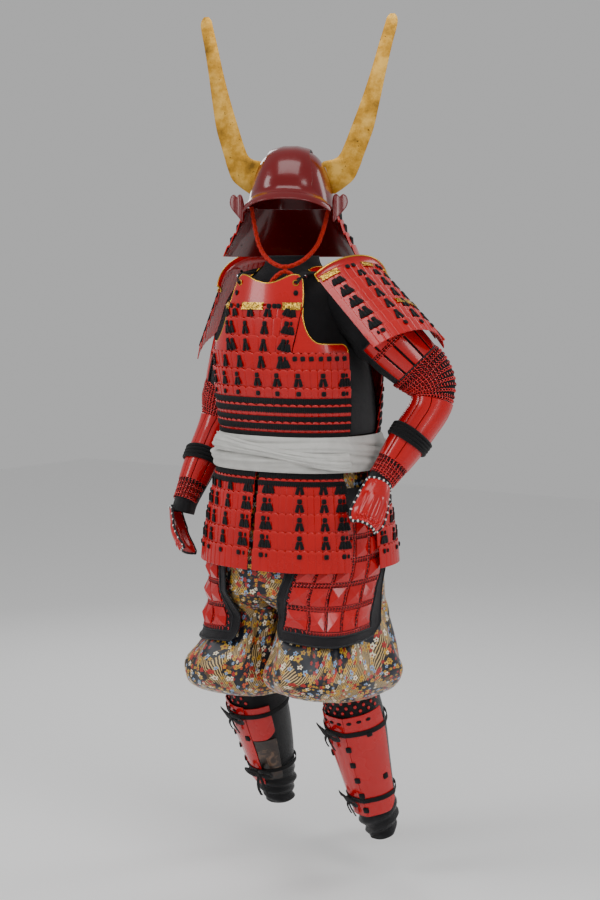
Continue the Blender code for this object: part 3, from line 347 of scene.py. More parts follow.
# Chin cord: from the middle under the chin up the cheek into the bowl; in the helmet's frame
CHEEK_ROUTE = ((0.0, -0.114, -0.1425), (0.026, -0.106, -0.136), (0.051, -0.086, -0.118), (0.070, -0.062, -0.092),
               (0.081, -0.044, -0.060), (0.089, -0.034, -0.026), (0.0945, -0.030, 0.002))
TAIL_ROUTE = ((0.0, -0.1140, -0.1531), (0.012, -0.1142, -0.158), (0.024, -0.1150, -0.168), (0.034, -0.1152, -0.181),
              (0.038, -0.1146, -0.194))
CORD_RADIUS = 0.0055


def bend(points, k, t):
    """A point of the smooth curve through all the points, at a share t of the run after point k."""
    last = len(points) - 1
    p0, p1, p2, p3 = (points[min(max(k + i, 0), last)] for i in (-1, 0, 1, 2))
    return 0.5 * (2 * p1 + (p2 - p0) * t + (2 * p0 - 5 * p1 + 4 * p2 - p3) * t ** 2
                  + (3 * p1 - 3 * p2 + p3 - p0) * t ** 3)


def through(points, share):
    """A point of the smooth curve at a share of it, with every run as long as the next."""
    runs = len(points) - 1
    k = min(int(share * runs), runs - 1)
    return bend(points, k, share * runs - k)


def smooth_route(points, count):
    """Evenly spaced points on a smooth curve through all the points."""
    dense = [bend(points, k, i / 12) for k in range(len(points) - 1) for i in range(12)] + [points[-1]]
    lengths = [0.0]
    for a, b in zip(dense, dense[1:]):
        lengths.append(lengths[-1] + (b - a).length)
    even = []
    for target in spread(0.0, lengths[-1], count):
        k = max(i for i in range(len(dense) - 1) if lengths[i] <= target or i == 0)
        even.append(dense[k].lerp(dense[k + 1], min(1.0, (target - lengths[k]) / (lengths[k + 1] - lengths[k]))))
    return even


# Cuirass rows, as the heights of the lames' top edges
NARROW_TOPS = (1.433, 1.407, 1.365)
WIDE_TOPS = (1.325, 1.285, 1.242, 1.202, 1.161)
WIDE_BOTTOM = 1.119
WIDE_TURNS = (-162, -18)
# Half span of the back's wide rows in degrees: they leave room for the arms at the top
BACK_SPAN = ((1.119, 72), (1.161, 72), (1.202, 70), (1.242, 64), (1.285, 60), (1.325, 58))
# The upper rows' middle and half span in degrees: the chest is twisted a little to the wearer's left
UPPER_SPAN = (
    (1.325, -87.0, 22.5),
    (1.407, -86.0, 31.5),
    (1.433, -85.5, 35.5),
    (1.470, -83.0, 36.0),
    (1.510, -80.5, 34.0),
)


def upper_turn(share, height, facing):
    """Turn of a place across the upper rows, share -1 to 1. facing is -1 for the front and 1 for the back."""
    middle, half = look_up(UPPER_SPAN, height)
    return middle + share * half if facing < 0 else 90 - share * half


def yoke_top(x, y):
    """Height of the yoke's shoulder over a place on the plan."""
    def inside(height):
        half_width, half_depth, centre_x, centre_y = look_up(YOKE, height)
        return in_form(x - centre_x, y - centre_y, half_width, half_depth)

    return furthest(inside, 1.30, YOKE[-1][0])


STRAP_LIFT = 0.0028


# Hand guards: where the knuckle edge is, and which way the back of the hand faces. They start at the cuff.
HANDS = {
    LEFT: ((0.276, -0.128, 0.927), (0.80, -0.30, 0.50)),
    RIGHT: ((-0.274, -0.112, 0.812), (-0.95, -0.12, 0.12)),
}

# How far over the cuff they start, and how far off its cloth
CUFF_STEP = {LEFT: 0.001, RIGHT: -0.014}
CUFF_CLEAR = {LEFT: 0.0063, RIGHT: 0.0010}


# Shoulder guards: middle of the cylinder at the top edge, the way down, the way it faces, radius, half span in degrees
SHOULDER_GUARDS = {
    LEFT: ((0.096, 0.006, 1.412), (0.749, -0.159, -0.644), (0.638, -0.090, 0.764), 0.150, 50),
    RIGHT: ((-0.0655, 0.0437, 1.4262), (-0.560, 0.360, -0.745), (-0.811, -0.058, 0.582), 0.170, 41),
}
GUARD_LENGTH = 0.262
GUARD_ROWS = 6
GUARD_PITCH = 0.0395


def guard_frame(side):
    centre, down, facing = (Vector(v) for v in SHOULDER_GUARDS[side][:3])
    down = down.normalized()
    facing = (facing - down * facing.dot(down)).normalized()
    return centre, down, facing, down.cross(facing) * side


def guard_point(side, along, share, out=0.0):
    """A point on the shoulder guard's inside: metres down from the first lame's top, share -1 to 1 across."""
    centre, down, facing, across = guard_frame(side)
    radius, half_span = SHOULDER_GUARDS[side][3:]
    reach = radius + 0.035 * along + out
    turn = math.radians(share * half_span)
    return centre + down * along + facing * (math.cos(turn) * reach) + across * (math.sin(turn) * reach)


# Shoulder ties: place along the guard's inside and across it where the tie ends
TIE_RADIUS = 0.0035
TIE_SEAT = {LEFT: (0.010, 0.05), RIGHT: (0.010, 0.0)}


# Belt: the sash that ties the cuirass in at the waist
BELT_LOW, BELT_HIGH = 1.040, 1.124


SKIRT_TOPS = (1.062, 1.026, 0.989, 0.946, 0.903, 0.860)
SKIRT_BOTTOM = 0.806
# Skirt panels: first and last turn
SKIRT_PANELS = {
    "front_left": (-89.2, -27),
    "front_right": (-153, -90.8),
    "side_left": (-3, 38),
    "side_right": (142, 183),
    "back_left": (40.5, 89.2),
    "back_right": (90.8, 139.5),
}


# Trouser legs below the crotch, outside: height, middle x, middle y, half width, half depth
CROTCH = SEAT[0][0]
TROUSER_LEGS = {
    LEFT: ((0.690, 0.112, -0.018, 0.110, 0.135), (0.620, 0.127, -0.036, 0.123, 0.148),
           (0.560, 0.138, -0.050, 0.1345, 0.176), (0.528, 0.138, -0.050, 0.132, 0.171),
           (0.504, 0.141, -0.044, 0.116, 0.143), (0.498, 0.147, -0.022, 0.092, 0.105),
           (0.500, 0.1510, -0.0050, 0.0717, 0.0752)),
    RIGHT: ((0.675, -0.108, -0.006, 0.102, 0.123), (0.610, -0.1175, -0.016, 0.107, 0.131),
            (0.550, -0.1360, -0.029, 0.133, 0.150), (0.500, -0.140, -0.029, 0.132, 0.150),
            (0.471, -0.146, -0.010, 0.116, 0.130), (0.464, -0.154, 0.012, 0.094, 0.104),
            (0.466, -0.1602, 0.0260, 0.0722, 0.0777)),
}
# Rows whose cloth hangs loose; the others turn under to the gathered band
LOOSE_ROWS = 5
# How square the legs are on the plan, and the share of the cloth that runs round their outer side
LEG_SQUARENESS = 2.8
OUTER_SHARE = 0.75


def crotch_point(side, t, out=0.0):
    """The half of the seat's ring on that side, closed by the crotch seam."""
    if t <= OUTER_SHARE:
        turn = between(-90, 90, t / OUTER_SHARE)
        spot = round_form(SEAT, turn, CROTCH, out)
        spot.x = max(spot.x, SEAM_GAP / 2 - min(out, 0.0))
    else:
        half_depth = look_up(SEAT, CROTCH)[1] + out
        spot = Vector((SEAM_GAP / 2 - min(out, 0.0),
                       between(half_depth, -half_depth, (t - OUTER_SHARE) / (1 - OUTER_SHARE)), CROTCH))
    spot.x *= side
    return spot


def leg_turn(t):
    """Turn round a trouser leg in degrees, at a share of the cloth round it."""
    if t <= OUTER_SHARE:
        return between(-125, 125, t / OUTER_SHARE)
    return between(125, 235, (t - OUTER_SHARE) / (1 - OUTER_SHARE))


def leg_ellipse(side, row, t, out=0.0):
    height, middle_x, middle_y, half_width, half_depth = row
    turn = math.radians(leg_turn(t))
    squareness = 2.0 if half_width < 0.080 else LEG_SQUARENESS
    return Vector((middle_x + side * swell(math.cos(turn), squareness) * (half_width + out),
                   middle_y + swell(math.sin(turn), squareness) * (half_depth + out), height))


def lower_body(side, t, height, out):
    """The trousers' outside at any height: the seat, then the blend, then the leg."""
    first = TROUSER_LEGS[side][0]
    if height >= CROTCH:
        spot = round_form(SEAT, between(-90, 90, t / OUTER_SHARE), height, out)
        spot.x *= side
        return spot
    if height >= first[0]:
        share = (CROTCH - height) / (CROTCH - first[0])
        spot = crotch_point(side, t, out).lerp(leg_ellipse(side, first, t, out), share)
        spot.z = height
        return spot
    middle_x, middle_y, half_width, half_depth = look_up(TROUSER_LEGS[side][:4], height)
    return leg_ellipse(side, (height, middle_x, middle_y, half_width, half_depth), t, out)


# Thigh guards: bottom height, then the shares round the leg of both edges at the bottom, the crotch and the top
THIGH_TOP = 1.000
THIGH = {
    LEFT: (0.640, ((0.0, 0.037, 0.378), (0.30, 0.060, 0.395), (0.50, 0.085, 0.430), (1.0, 0.105, 0.440))),
    RIGHT: (0.612, ((0.0, 0.070, 0.388), (0.30, 0.084, 0.405), (0.50, 0.094, 0.440), (1.0, 0.105, 0.450))),
}
THIGH_CLEAR = 0.0132
THIGH_SEAT = 0.0019
THIGH_CLOTH = 0.003
STUD_ROWS, STUD_COLUMNS = 5, 5
STUDS_TOP = 0.84
STUD_HEIGHT = 0.011


def thigh_edges(side, v):
    """First and last share round the leg at v, 0 at the bottom hem and 1 at the top, with rounded lower corners."""
    first, last = look_up(THIGH[side][1], v)
    corner = 0.022 * max(0.0, 1 - v / 0.09) ** 2
    return first + corner, last - corner


def thigh_point(side, u, v, out):
    first, last = thigh_edges(side, v)
    low = THIGH[side][0]
    sag = (0.010 * math.sin(math.pi * u) - 0.010 * u) * (1 - v)
    clear = between(THIGH_CLEAR, THIGH_SEAT, max(0.0, (v - 0.90) / 0.10))
    return lower_body(side, between(first, last, u), between(low, THIGH_TOP, v) - sag, clear + out)


SHIN_LIFT = 0.0037
# Where the long shin plates start, as a share of the leg: just under the trouser hem
SHIN_TOP = {LEFT: 0.220, RIGHT: 0.250}


class ArmourSizes(bpy.types.PropertyGroup):
    """Sizes of what repeats on the suit."""
    scale_width: bpy.props.FloatProperty(name="Scale width", description="Width of one scale head on the cuirass",
                                         unit="LENGTH", default=0.020, min=0.012, max=0.04)
    lame_plate: bpy.props.FloatProperty(name="Lame thickness", description="Thickness of a lacquered lame",
                                        unit="LENGTH", default=0.0021, min=0.001, max=0.004)
    ring_pitch: bpy.props.FloatProperty(name="Mail pitch", description="Distance between two links of the mail",
                                        unit="LENGTH", default=0.0078, min=0.004, max=0.01)
    rim_radius: bpy.props.FloatProperty(name="Gold rim", description="Radius of the gilt strips on the edges",
                                        unit="LENGTH", default=0.0019, min=0.001, max=0.004)


# Colours and finishes

def linear(code):
    """An sRGB hex colour as linear numbers."""
    parts = [int(code[i:i + 2], 16) / 255 for i in (0, 2, 4)]
    return tuple(p / 12.92 if p <= 0.04045 else ((p + 0.055) / 1.055) ** 2.4 for p in parts)


def add_node(tree, kind, inputs=None, **settings):
    """A node with its settings, and its inputs as numbers or as links from other nodes' outputs."""
    node = tree.nodes.new(kind)
    for key, value in settings.items():
        if key == "stops":
            ramp = node.color_ramp
            while len(ramp.elements) < len(value):
                ramp.elements.new(0.5)
            for element, (place, colour) in zip(ramp.elements, value):
                element.position, element.color = place, (*colour, 1.0)
        elif key == "interpolation":
            node.color_ramp.interpolation = value
        else:
            setattr(node, key, value)
    for key, value in (inputs or {}).items():
        if isinstance(value, bpy.types.NodeSocket):
            tree.links.new(value, node.inputs[key])
        else:
            node.inputs[key].default_value = value
    return node


def new_finish(name, colour, roughness, metallic=0.0, **sockets):
    """A material, its node tree and its shader, with the values that are the same all over set on the sockets."""
    material = bpy.data.materials.new(name)
    material.use_nodes = True
    tree = material.node_tree
    shader = tree.nodes["Principled BSDF"]
    shader.inputs["Base Color"].default_value = (*colour, 1.0)
    shader.inputs["Roughness"].default_value = roughness
    shader.inputs["Metallic"].default_value = metallic
    for key, value in sockets.items():
        shader.inputs[key.replace("_", " ")].default_value = value
    return material, tree, shader


def raise_surface(tree, shader, height, strength, distance):
    bump = add_node(tree, "ShaderNodeBump", {"Height": height, "Strength": strength, "Distance": distance})
    tree.links.new(bump.outputs["Normal"], shader.inputs["Normal"])


def paint(tree, shader, colour):
    tree.links.new(colour, shader.inputs["Base Color"])


def calc(tree, operation, *values):
    """A number worked out from numbers or from other nodes' outputs."""
    return add_node(tree, "ShaderNodeMath", dict(enumerate(values)), operation=operation).outputs[0]


def mixed(tree, share, first, second, kind="MIX"):
    """Two colours mixed by a share, each a colour or another node's output."""
    first, second = (c if isinstance(c, bpy.types.NodeSocket) else (*c, 1.0) for c in (first, second))
    return add_node(tree, "ShaderNodeMixRGB", {"Fac": share, "Color1": first, "Color2": second},
                    blend_type=kind).outputs[0]


def ramp(tree, share, *stops, interpolation="LINEAR"):
    """Colours along a share. A stop is a place and a colour, as numbers or as hex."""
    stops = [(place, linear(colour) if isinstance(colour, str) else colour) for place, colour in stops]
    return add_node(tree, "ShaderNodeValToRGB", {"Fac": share}, stops=stops, interpolation=interpolation).outputs[0]


def clouds(tree, place, scale, detail, **more):
    """Soft noise, its scale a count for each metre."""
    return add_node(tree, "ShaderNodeTexNoise", {"Vector": place, "Scale": scale, "Detail": detail, **more}).outputs[0]


def colours():
    return bpy.context.scene.armour_colours


def sizes():
    return bpy.context.scene.armour_sizes


def place_of(tree):
    return add_node(tree, "ShaderNodeTexCoord").outputs["Object"]


def cloth_of(tree):
    """Coordinates that lie on the cloth, in metres."""
    return add_node(tree, "ShaderNodeTexCoord").outputs["UV"]


def lacquer(name, colour, roughness=0.26, worn=0.45):
    """Urushi lacquer over steel: a deep even red under a clear polished coat, with a paler painted highlight along the
    edges that the edge attribute marks.
    """
    material, tree, shader = new_finish(name, colour, roughness, Coat_Weight=0.35, Coat_Roughness=0.10,
                                        Specular_IOR_Level=0.35)
    place = place_of(tree)
    mottle = clouds(tree, place, 14.0, 4.0)
    base = mixed(tree, mottle, [c * 0.72 for c in colour], colour)
    edge = add_node(tree, "ShaderNodeAttribute", attribute_name="edge").outputs["Fac"]
    # Painted highlight: the edge attribute, scaled by worn, turns the red paler along the scale heads' top edges
    paint(tree, shader, mixed(tree, calc(tree, "MULTIPLY", edge, worn), base, colours().painted_edge_highlight))
    # Brush waves of about 8 mm and a faint grain
    raise_surface(tree, shader, clouds(tree, place, 120.0, 2.0), 0.10, 0.0006)
    gloss = add_node(tree, "ShaderNodeMapRange", {"Value": mottle, "To Min": roughness - 0.06,
                                                  "To Max": roughness + 0.08})
    tree.links.new(gloss.outputs["Result"], shader.inputs["Roughness"])
    return material


def gilded_leaf():
    """Gold leaf over wood, laid by hand: satin, with darker thin patches and small specks."""
    colour = colours().gold
    material, tree, shader = new_finish("gilded_leaf", colour, 0.40, 0.75)
    place = place_of(tree)
    patches = clouds(tree, place, 22.0, 8.0, Roughness=0.65)
    base = ramp(tree, patches, (0.30, "7C5A1E"), (0.47, colour), (0.64, "E3B352"))
    specks = calc(tree, "GREATER_THAN", clouds(tree, place, 160.0, 3.0), 0.70)
    paint(tree, shader, mixed(tree, specks, base, linear("5E4216")))
    raise_surface(tree, shader, patches, 0.18, 0.001)
    return material


def engraved_gilt():
    """Gilded copper with chased scrolls about 3 mm across, dark in the hollows."""
    colour = linear("D9A93C")
    material, tree, shader = new_finish("engraved_gilt", colour, 0.30, 0.85)
    cells = add_node(tree, "ShaderNodeTexVoronoi", {"Vector": place_of(tree), "Scale": 330.0},
                     feature="SMOOTH_F1").outputs["Distance"]
    paint(tree, shader, ramp(tree, cells, (0.10, "F2CF66"), (0.45, colour), (0.75, "5E4210")))
    raise_surface(tree, shader, cells, 0.9, -0.0012)
    return material


def polished(name, code, roughness, metallic, scale, detail, strength, distance):
    """Polished metal with a fine grain."""
    material, tree, shader = new_finish(name, linear(code), roughness, metallic)
    raise_surface(tree, shader, clouds(tree, place_of(tree), scale, detail), strength, distance)
    return material


def braid(name, code, light, scale=520.0):
    """Flat silk braid: slanting strands about 2 mm wide, dull, with a soft sheen."""
    material, tree, shader = new_finish(name, linear(code), 0.75, Sheen_Weight=0.06, Sheen_Roughness=0.5,
                                        Specular_IOR_Level=0.25)
    strands = add_node(tree, "ShaderNodeTexWave", {"Vector": place_of(tree), "Scale": scale, "Distortion": 1.5,
                                                   "Detail": 1.0}, bands_direction="DIAGONAL").outputs["Fac"]
    # Painted shade: the strand mask darkens the braid between the strands and lightens it on their crowns
    paint(tree, shader, mixed(tree, strands, linear(code), linear(light)))
    raise_surface(tree, shader, strands, 0.6, 0.0008)
    return material


def weave(name, code, light, roughness, thread, sheen=0.2, crease=0.5):
    """Woven cloth from its thread spacing in metres: two crossed sets of threads, soft creases and a little sheen."""
    material, tree, shader = new_finish(name, linear(code), roughness, Sheen_Weight=sheen, Sheen_Roughness=0.4,
                                        Specular_IOR_Level=0.3)
    flat = cloth_of(tree)
    warp, weft = (add_node(tree, "ShaderNodeTexWave", {"Vector": flat, "Scale": 1 / thread / 3.14},
                           bands_direction=way).outputs["Fac"] for way in "XY")
    creases = clouds(tree, flat, 26.0, 5.0, Distortion=0.6)
    # Painted shade: the crease mask darkens the cloth in the crease hollows and lightens it on their ridges
    paint(tree, shader, mixed(tree, creases, linear(code), linear(light)))
    fine = calc(tree, "MULTIPLY", calc(tree, "ADD", warp, weft), 0.10)
    raise_surface(tree, shader, calc(tree, "ADD", creases, fine), crease, 0.006)
    return material


def red_links():
    """Small iron links, lacquered red, with black showing where the lacquer is thin."""
    material, tree, shader = new_finish("red_links", linear("D21018"), 0.35, Coat_Weight=0.25, Coat_Roughness=0.2)
    wear = clouds(tree, place_of(tree), 180.0, 2.0)
    paint(tree, shader, ramp(tree, wear, (0.30, "8A0A10"), (0.46, "DC1018"), (0.70, "F43434")))
    return material


def creased_leather():
    """Smooth vegetable tanned leather, dark brown, with broad glossy creases."""
    material, tree, shader = new_finish("creased_leather", linear("3B2A20"), 0.36, Coat_Weight=0.2, Coat_Roughness=0.25)
    creases = clouds(tree, place_of(tree), 34.0, 6.0, Distortion=1.2)
    # Painted shade and highlight: near black in the crease hollows and pale on their ridges
    paint(tree, shader, ramp(tree, creases, (0.32, "120B07"), (0.54, "332217"), (0.72, "7A5C46")))
    raise_surface(tree, shader, creases, 0.7, 0.004)
    return material


def figured_silk():
    """Figured silk: navy satin ground, small five petalled flowers and rings, and slanting bands of gold thread."""
    navy = linear("080C1C")
    material, tree, shader = new_finish("figured_silk", navy, 0.44, Sheen_Weight=0.3, Sheen_Roughness=0.35)
    flat = cloth_of(tree)

    def moved(place, **settings):
        return add_node(tree, "ShaderNodeMapping", {"Vector": place, **settings}).outputs[0]

    def motif(pitch, seed, share, shift):
        """A mask of petals and a mask of eyes for flowers a pitch apart, and each flower's random colour."""
        spot = moved(flat, Location=(shift, shift * 0.7, 0.0), Scale=(1 / pitch, 1 / pitch, 1.0))
        cells = add_node(tree, "ShaderNodeTexVoronoi", {"Vector": spot, "Scale": 1.0, "Randomness": 0.8},
                         voronoi_dimensions="2D").outputs
        away = add_node(tree, "ShaderNodeVectorMath", {0: spot, 1: cells["Position"]}, operation="SUBTRACT")
        parts = add_node(tree, "ShaderNodeSeparateXYZ", {0: away.outputs[0]}).outputs
        five = calc(tree, "MULTIPLY_ADD", calc(tree, "ARCTAN2", parts["Y"], parts["X"]), 5.0, seed)
        reach = calc(tree, "MULTIPLY_ADD", calc(tree, "COSINE", five), 0.075, share)
        return (calc(tree, "LESS_THAN", cells["Distance"], reach),
                calc(tree, "LESS_THAN", cells["Distance"], share * 0.36), cells["Color"])

    # Bands 26 mm wide that slant both ways, with fine cream hatching in them
    bent = add_node(tree, "ShaderNodeTexNoise", {"Vector": flat, "Scale": 9.0, "Detail": 1.0}).outputs["Color"]
    swing = mixed(tree, 0.16, flat, bent, "ADD")
    bands = []
    for turn, pitch in ((0.62, 0.105), (-0.75, 0.135)):
        slant = moved(swing, Rotation=(0.0, 0.0, turn), Scale=(1 / pitch, 1 / pitch, 1.0))
        wave = add_node(tree, "ShaderNodeTexWave", {"Vector": slant, "Scale": 0.32, "Distortion": 2.2, "Detail": 1.0,
                                                    "Detail Scale": 1.5}).outputs["Fac"]
        bands.append(calc(tree, "GREATER_THAN", wave, 0.86))
    hatch = add_node(tree, "ShaderNodeTexWave", {"Vector": moved(flat, Rotation=(0.0, 0.0, -0.5)), "Scale": 70.0,
                                                 "Distortion": 3.0}).outputs["Fac"]
    thread = ramp(tree, hatch, (0.22, "1C1208"), (0.5, "7E5C2A"), (0.85, "C9AC74"))
    scroll = calc(tree, "GREATER_THAN", clouds(tree, flat, 60.0, 2.0), 0.60)
    tone = mixed(tree, calc(tree, "MAXIMUM", *bands), mixed(tree, scroll, navy, linear("5A3F1C")), thread)
    palette = ((0.0, "C08A2C"), (0.20, "D9541C"), (0.36, "EADFC2"), (0.48, "C99A22"), (0.64, "A8201C"),
               (0.76, "7FA6CC"), (0.86, "DDB44C"))
    masks = []
    for pitch, seed, share, shift in ((0.0165, 0.0, 0.33, 0.0), (0.0125, 1.3, 0.27, 3.7)):
        flower, eye, chance = motif(pitch, seed, share, shift)
        heart = mixed(tree, eye, ramp(tree, chance, *palette, interpolation="CONSTANT"), linear("8C2C16"))
        green = add_node(tree, "ShaderNodeSeparateColor", {0: chance}).outputs["Green"]
        masks.append(calc(tree, "MULTIPLY", flower, calc(tree, "GREATER_THAN", green, 0.30)))
        tone = mixed(tree, masks[-1], tone, heart)
    paint(tree, shader, tone)
    creases = clouds(tree, flat, 18.0, 4.0, Distortion=0.8)
    raise_surface(tree, shader, calc(tree, "MULTIPLY_ADD", masks[0], 0.12, creases), 0.5, 0.006)
    return material


# Each finish: how it is made, and the record's slot that it belongs to
FINISHES = {
    "lacquer": (lambda: lacquer("red_lacquer", colours().lacquer), "red_lacquer"),
    # The helmet's deep red; its last number sets how strong the painted edge highlight is
    "dark": (lambda: lacquer("dark_red_lacquer", colours().dark_lacquer, 0.20, 0.2), "red_lacquer"),
    "leaf": (gilded_leaf, "gold_leaf"),
    "gilt": (engraved_gilt, "gold_leaf"),
    # Gilt copper strip folded over an edge
    "rim": (lambda: polished("gilt_rim", "D9A640", 0.26, 0.9, 260.0, 3.0, 0.25, 0.0004), "gold_leaf"),
    # Silver alloy of the cord toggle
    "steel": (lambda: polished("silver_alloy", "C9CDD2", 0.22, 1.0, 400.0, 2.0, 0.2, 0.0003), "gold_leaf"),
    "braid": (lambda: braid("black_silk_braid", "040405", "0E0E11"), "black_braid"),
    "red_cord": (lambda: braid("red_silk_braid", "8E0604", "DC2A12", 380.0), "red_braid"),
    "cotton": (lambda: weave("black_quilted_cotton", "050507", "101016", 0.55, 0.0016, 0.10, 0.8), "black_cloth"),
    "satin": (lambda: weave("black_satin", "040406", "0C0C12", 0.30, 0.0012, 0.05, 0.6), "black_cloth"),
    "border": (lambda: weave("quilted_border", "08080B", "1E1A20", 0.50, 0.0018, 0.12, 1.0), "black_cloth"),
    "piping": (lambda: weave("grey_piping", "15171A", "24272C", 0.7, 0.0016), "black_cloth"),
    "white": (lambda: weave("white_cotton", "B4B3AE", "DCDBD6", 0.85, 0.0018, 0.1, 0.6), "white_sash"),
    "white_piping": (lambda: weave("white_piping", "CFCFCB", "EFEFEC", 0.75, 0.0016), "white_sash"),
    # Black hemp under the mail, matt and coarse
    "backing": (lambda: weave("mail_backing", "030303", "0A0A0B", 0.9, 0.0022, 0.0), "black_cloth"),
    "links": (red_links, "red_mail"),
    "leather": (creased_leather, "brown_leather"),
    "silk": (figured_silk, "brocade"),
}
MADE = {}


def finish_of(name):
    """The finish by its short name, made at its first use."""
    if MADE.get(name) not in bpy.data.materials.keys():
        MADE[name] = FINISHES[name][0]().name
    return bpy.data.materials[MADE[name]]


# Making pieces

def drop(point):
    """From a height over the ground to the suit's own frame."""
    return Vector((point[0], point[1], point[2] - HOLD_HEIGHT))


def alone():
    bpy.ops.object.select_all(action="DESELECT")


def pick(piece):
    alone()
    piece.select_set(True)
    bpy.context.view_layer.objects.active = piece


def settle(piece, finish, *nodes):
    """Finish, body and the solids that the piece stands for."""
    piece.data.materials.clear()
    piece.data.materials.append(finish_of(finish))
    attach(piece, "root")
    if nodes:
        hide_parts(*nodes)
    return piece


def apply_modifier(piece, kind, **settings):
    pick(piece)
    made = piece.modifiers.new(kind.lower(), kind)
    for key, value in settings.items():
        setattr(made, key, value)
    bpy.ops.object.modifier_apply(modifier=made.name)


def sheet_mesh(name, place, columns, rows, span=(1.0, 1.0), closed=False, edge=None, levels=None):
    """A grid moved to place(u, v, out), u and v from 0 to 1, its faces turned the way that out grows.
    span is its size in metres for the cloth coordinates, edge marks the points for a painted highlight and levels
    spaces the rows."""
    alone()
    bpy.ops.mesh.primitive_grid_add(x_subdivisions=columns, y_subdivisions=rows, size=1.0)
    piece = bpy.context.object
    piece.name = piece.data.name = name
    mesh = piece.data
    marks = mesh.attributes.new("edge", "FLOAT", "POINT")
    for vertex in mesh.vertices:
        u, v = vertex.co.x + 0.5, vertex.co.y + 0.5
        if levels:
            v = levels[round(v * rows)]
        marks.data[vertex.index].value = edge(u, v) if edge else 0.0
        vertex.co = drop(place(u, v, 0.0))
    for loop in mesh.uv_layers[0].data:
        loop.uv = (loop.uv[0] * span[0], loop.uv[1] * span[1])
    mesh.update()
    row, column = rows // 2, columns // 2
    face = mesh.polygons[row * columns + column]
    v = (levels[row] + levels[row + 1]) / 2 if levels else (row + 0.5) / rows
    u = (column + 0.5) / columns
    grown = place(u, v, 0.001) - place(u, v, -0.001)
    if face.normal.dot(grown) < 0:
        mesh.flip_normals()
    if closed:
        pick(piece)
        bpy.ops.object.mode_set(mode="EDIT")
        bpy.ops.mesh.select_all(action="SELECT")
        bpy.ops.mesh.remove_doubles(threshold=1e-5)
        bpy.ops.object.mode_set(mode="OBJECT")
    return piece


def surface(name, place, columns, rows, thick, span=(1.0, 1.0), closed=False, edge=None, levels=None, round_edge=0.0,
            angle=40):
    """A wall whose outer face is at place, with thickness inwards and softened edges."""
    piece = sheet_mesh(name, place, columns, rows, span, closed, edge, levels)
    if thick:
        apply_modifier(piece, "SOLIDIFY", thickness=thick, offset=-1.0)
    if round_edge:
        apply_modifier(piece, "BEVEL", width=round_edge, segments=1, limit_method="ANGLE",
                       angle_limit=math.radians(50))
    pick(piece)
    bpy.ops.object.shade_smooth_by_angle(angle=math.radians(angle))
    return piece


def join(name, pieces):
    """Several pieces as one."""
    alone()
    for piece in pieces:
        piece.select_set(True)
    bpy.context.view_layer.objects.active = pieces[0]
    bpy.ops.object.join()
    made = bpy.context.object
    made.name = made.data.name = name
    return made


def rod(name, points, radius, closed=False, fine=2):
    """A round rod through points."""
    curve = bpy.data.curves.new(name, "CURVE")
    curve.dimensions = "3D"
    line = curve.splines.new("POLY")
    line.points.add(len(points) - 1)
    for target, p in zip(line.points, points):
        target.co = (*drop(p), 1.0)
    line.use_cyclic_u = closed
    line.use_smooth = True
    curve.bevel_depth = radius
    curve.bevel_resolution = fine
    curve.use_fill_caps = not closed
    made = bpy.data.objects.new(name, curve)
    bpy.context.scene.collection.objects.link(made)
    pick(made)
    bpy.ops.object.convert(target="MESH")
    return bpy.context.object


def frame_at(place, u, v, out=0.0, step=0.004):
    """Origin and axes on a surface: across, up and outwards."""
    rise = place(u, v + step, out) - place(u, v - step, out)
    outward = (place(u, v, out + 0.001) - place(u, v, out - 0.001)).normalized()
    up = (rise - outward * rise.dot(outward)).normalized()
    across = up.cross(outward).normalized()
    return Matrix.Translation(drop(place(u, v, out))) @ Matrix((across, up, outward)).transposed().to_4x4()


def lifted(place, rise):
    """The same surface, further out."""
    return lambda u, v, out: place(u, v, out + rise)


def template(kind, size, bevel=0.0, narrow=1.0):
    """A small shape from a primitive, as its points and faces. narrow is its width at the top against the foot."""
    alone()
    if kind == "cube":
        bpy.ops.mesh.primitive_cube_add(size=1.0)
    elif kind == "ring":
        bpy.ops.mesh.primitive_torus_add(major_segments=6, minor_segments=3, major_radius=0.38, minor_radius=0.11)
    elif kind == "eyelet":
        bpy.ops.mesh.primitive_torus_add(major_segments=16, minor_segments=6, major_radius=0.40, minor_radius=0.10)
    elif kind == "bead":
        bpy.ops.mesh.primitive_ico_sphere_add(subdivisions=2, radius=0.5)
    piece = bpy.context.object
    for vertex in piece.data.vertices:
        for component in range(3):
            vertex.co[component] *= size[component]
        if vertex.co.y >= 0:
            vertex.co.x *= narrow
    if bevel:
        apply_modifier(piece, "BEVEL", width=bevel, segments=1, limit_method="ANGLE", angle_limit=math.radians(30))
    points = [v.co.copy() for v in piece.data.vertices]
    faces = [tuple(p.vertices) for p in piece.data.polygons]
    bpy.data.objects.remove(piece)
    return points, faces


def merged(*shapes):
    points, faces = [], []
    for shape_points, shape_faces in shapes:
        base = len(points)
        points += shape_points
        faces += [tuple(base + i for i in face) for face in shape_faces]
    return points, faces


def turned(shape, degrees, shift=(0.0, 0.0, 0.0)):
    turn = Matrix.Translation(Vector(shift)) @ Matrix.Rotation(math.radians(degrees), 4, "Z")
    return [turn @ p for p in shape[0]], shape[1]


def stamp(name, shape, frames, angle=50):
    """One piece made of a copy of the shape on each frame."""
    points, faces = [], []
    for place in frames:
        base = len(points)
        points += [place @ p for p in shape[0]]
        faces += [tuple(base + i for i in face) for face in shape[1]]
    mesh = bpy.data.meshes.new(name)
    mesh.from_pydata(points, [], faces)
    made = bpy.data.objects.new(name, mesh)
    bpy.context.scene.collection.objects.link(made)
    pick(made)
    bpy.ops.object.shade_smooth_by_angle(angle=math.radians(angle))
    return made


# Lacing

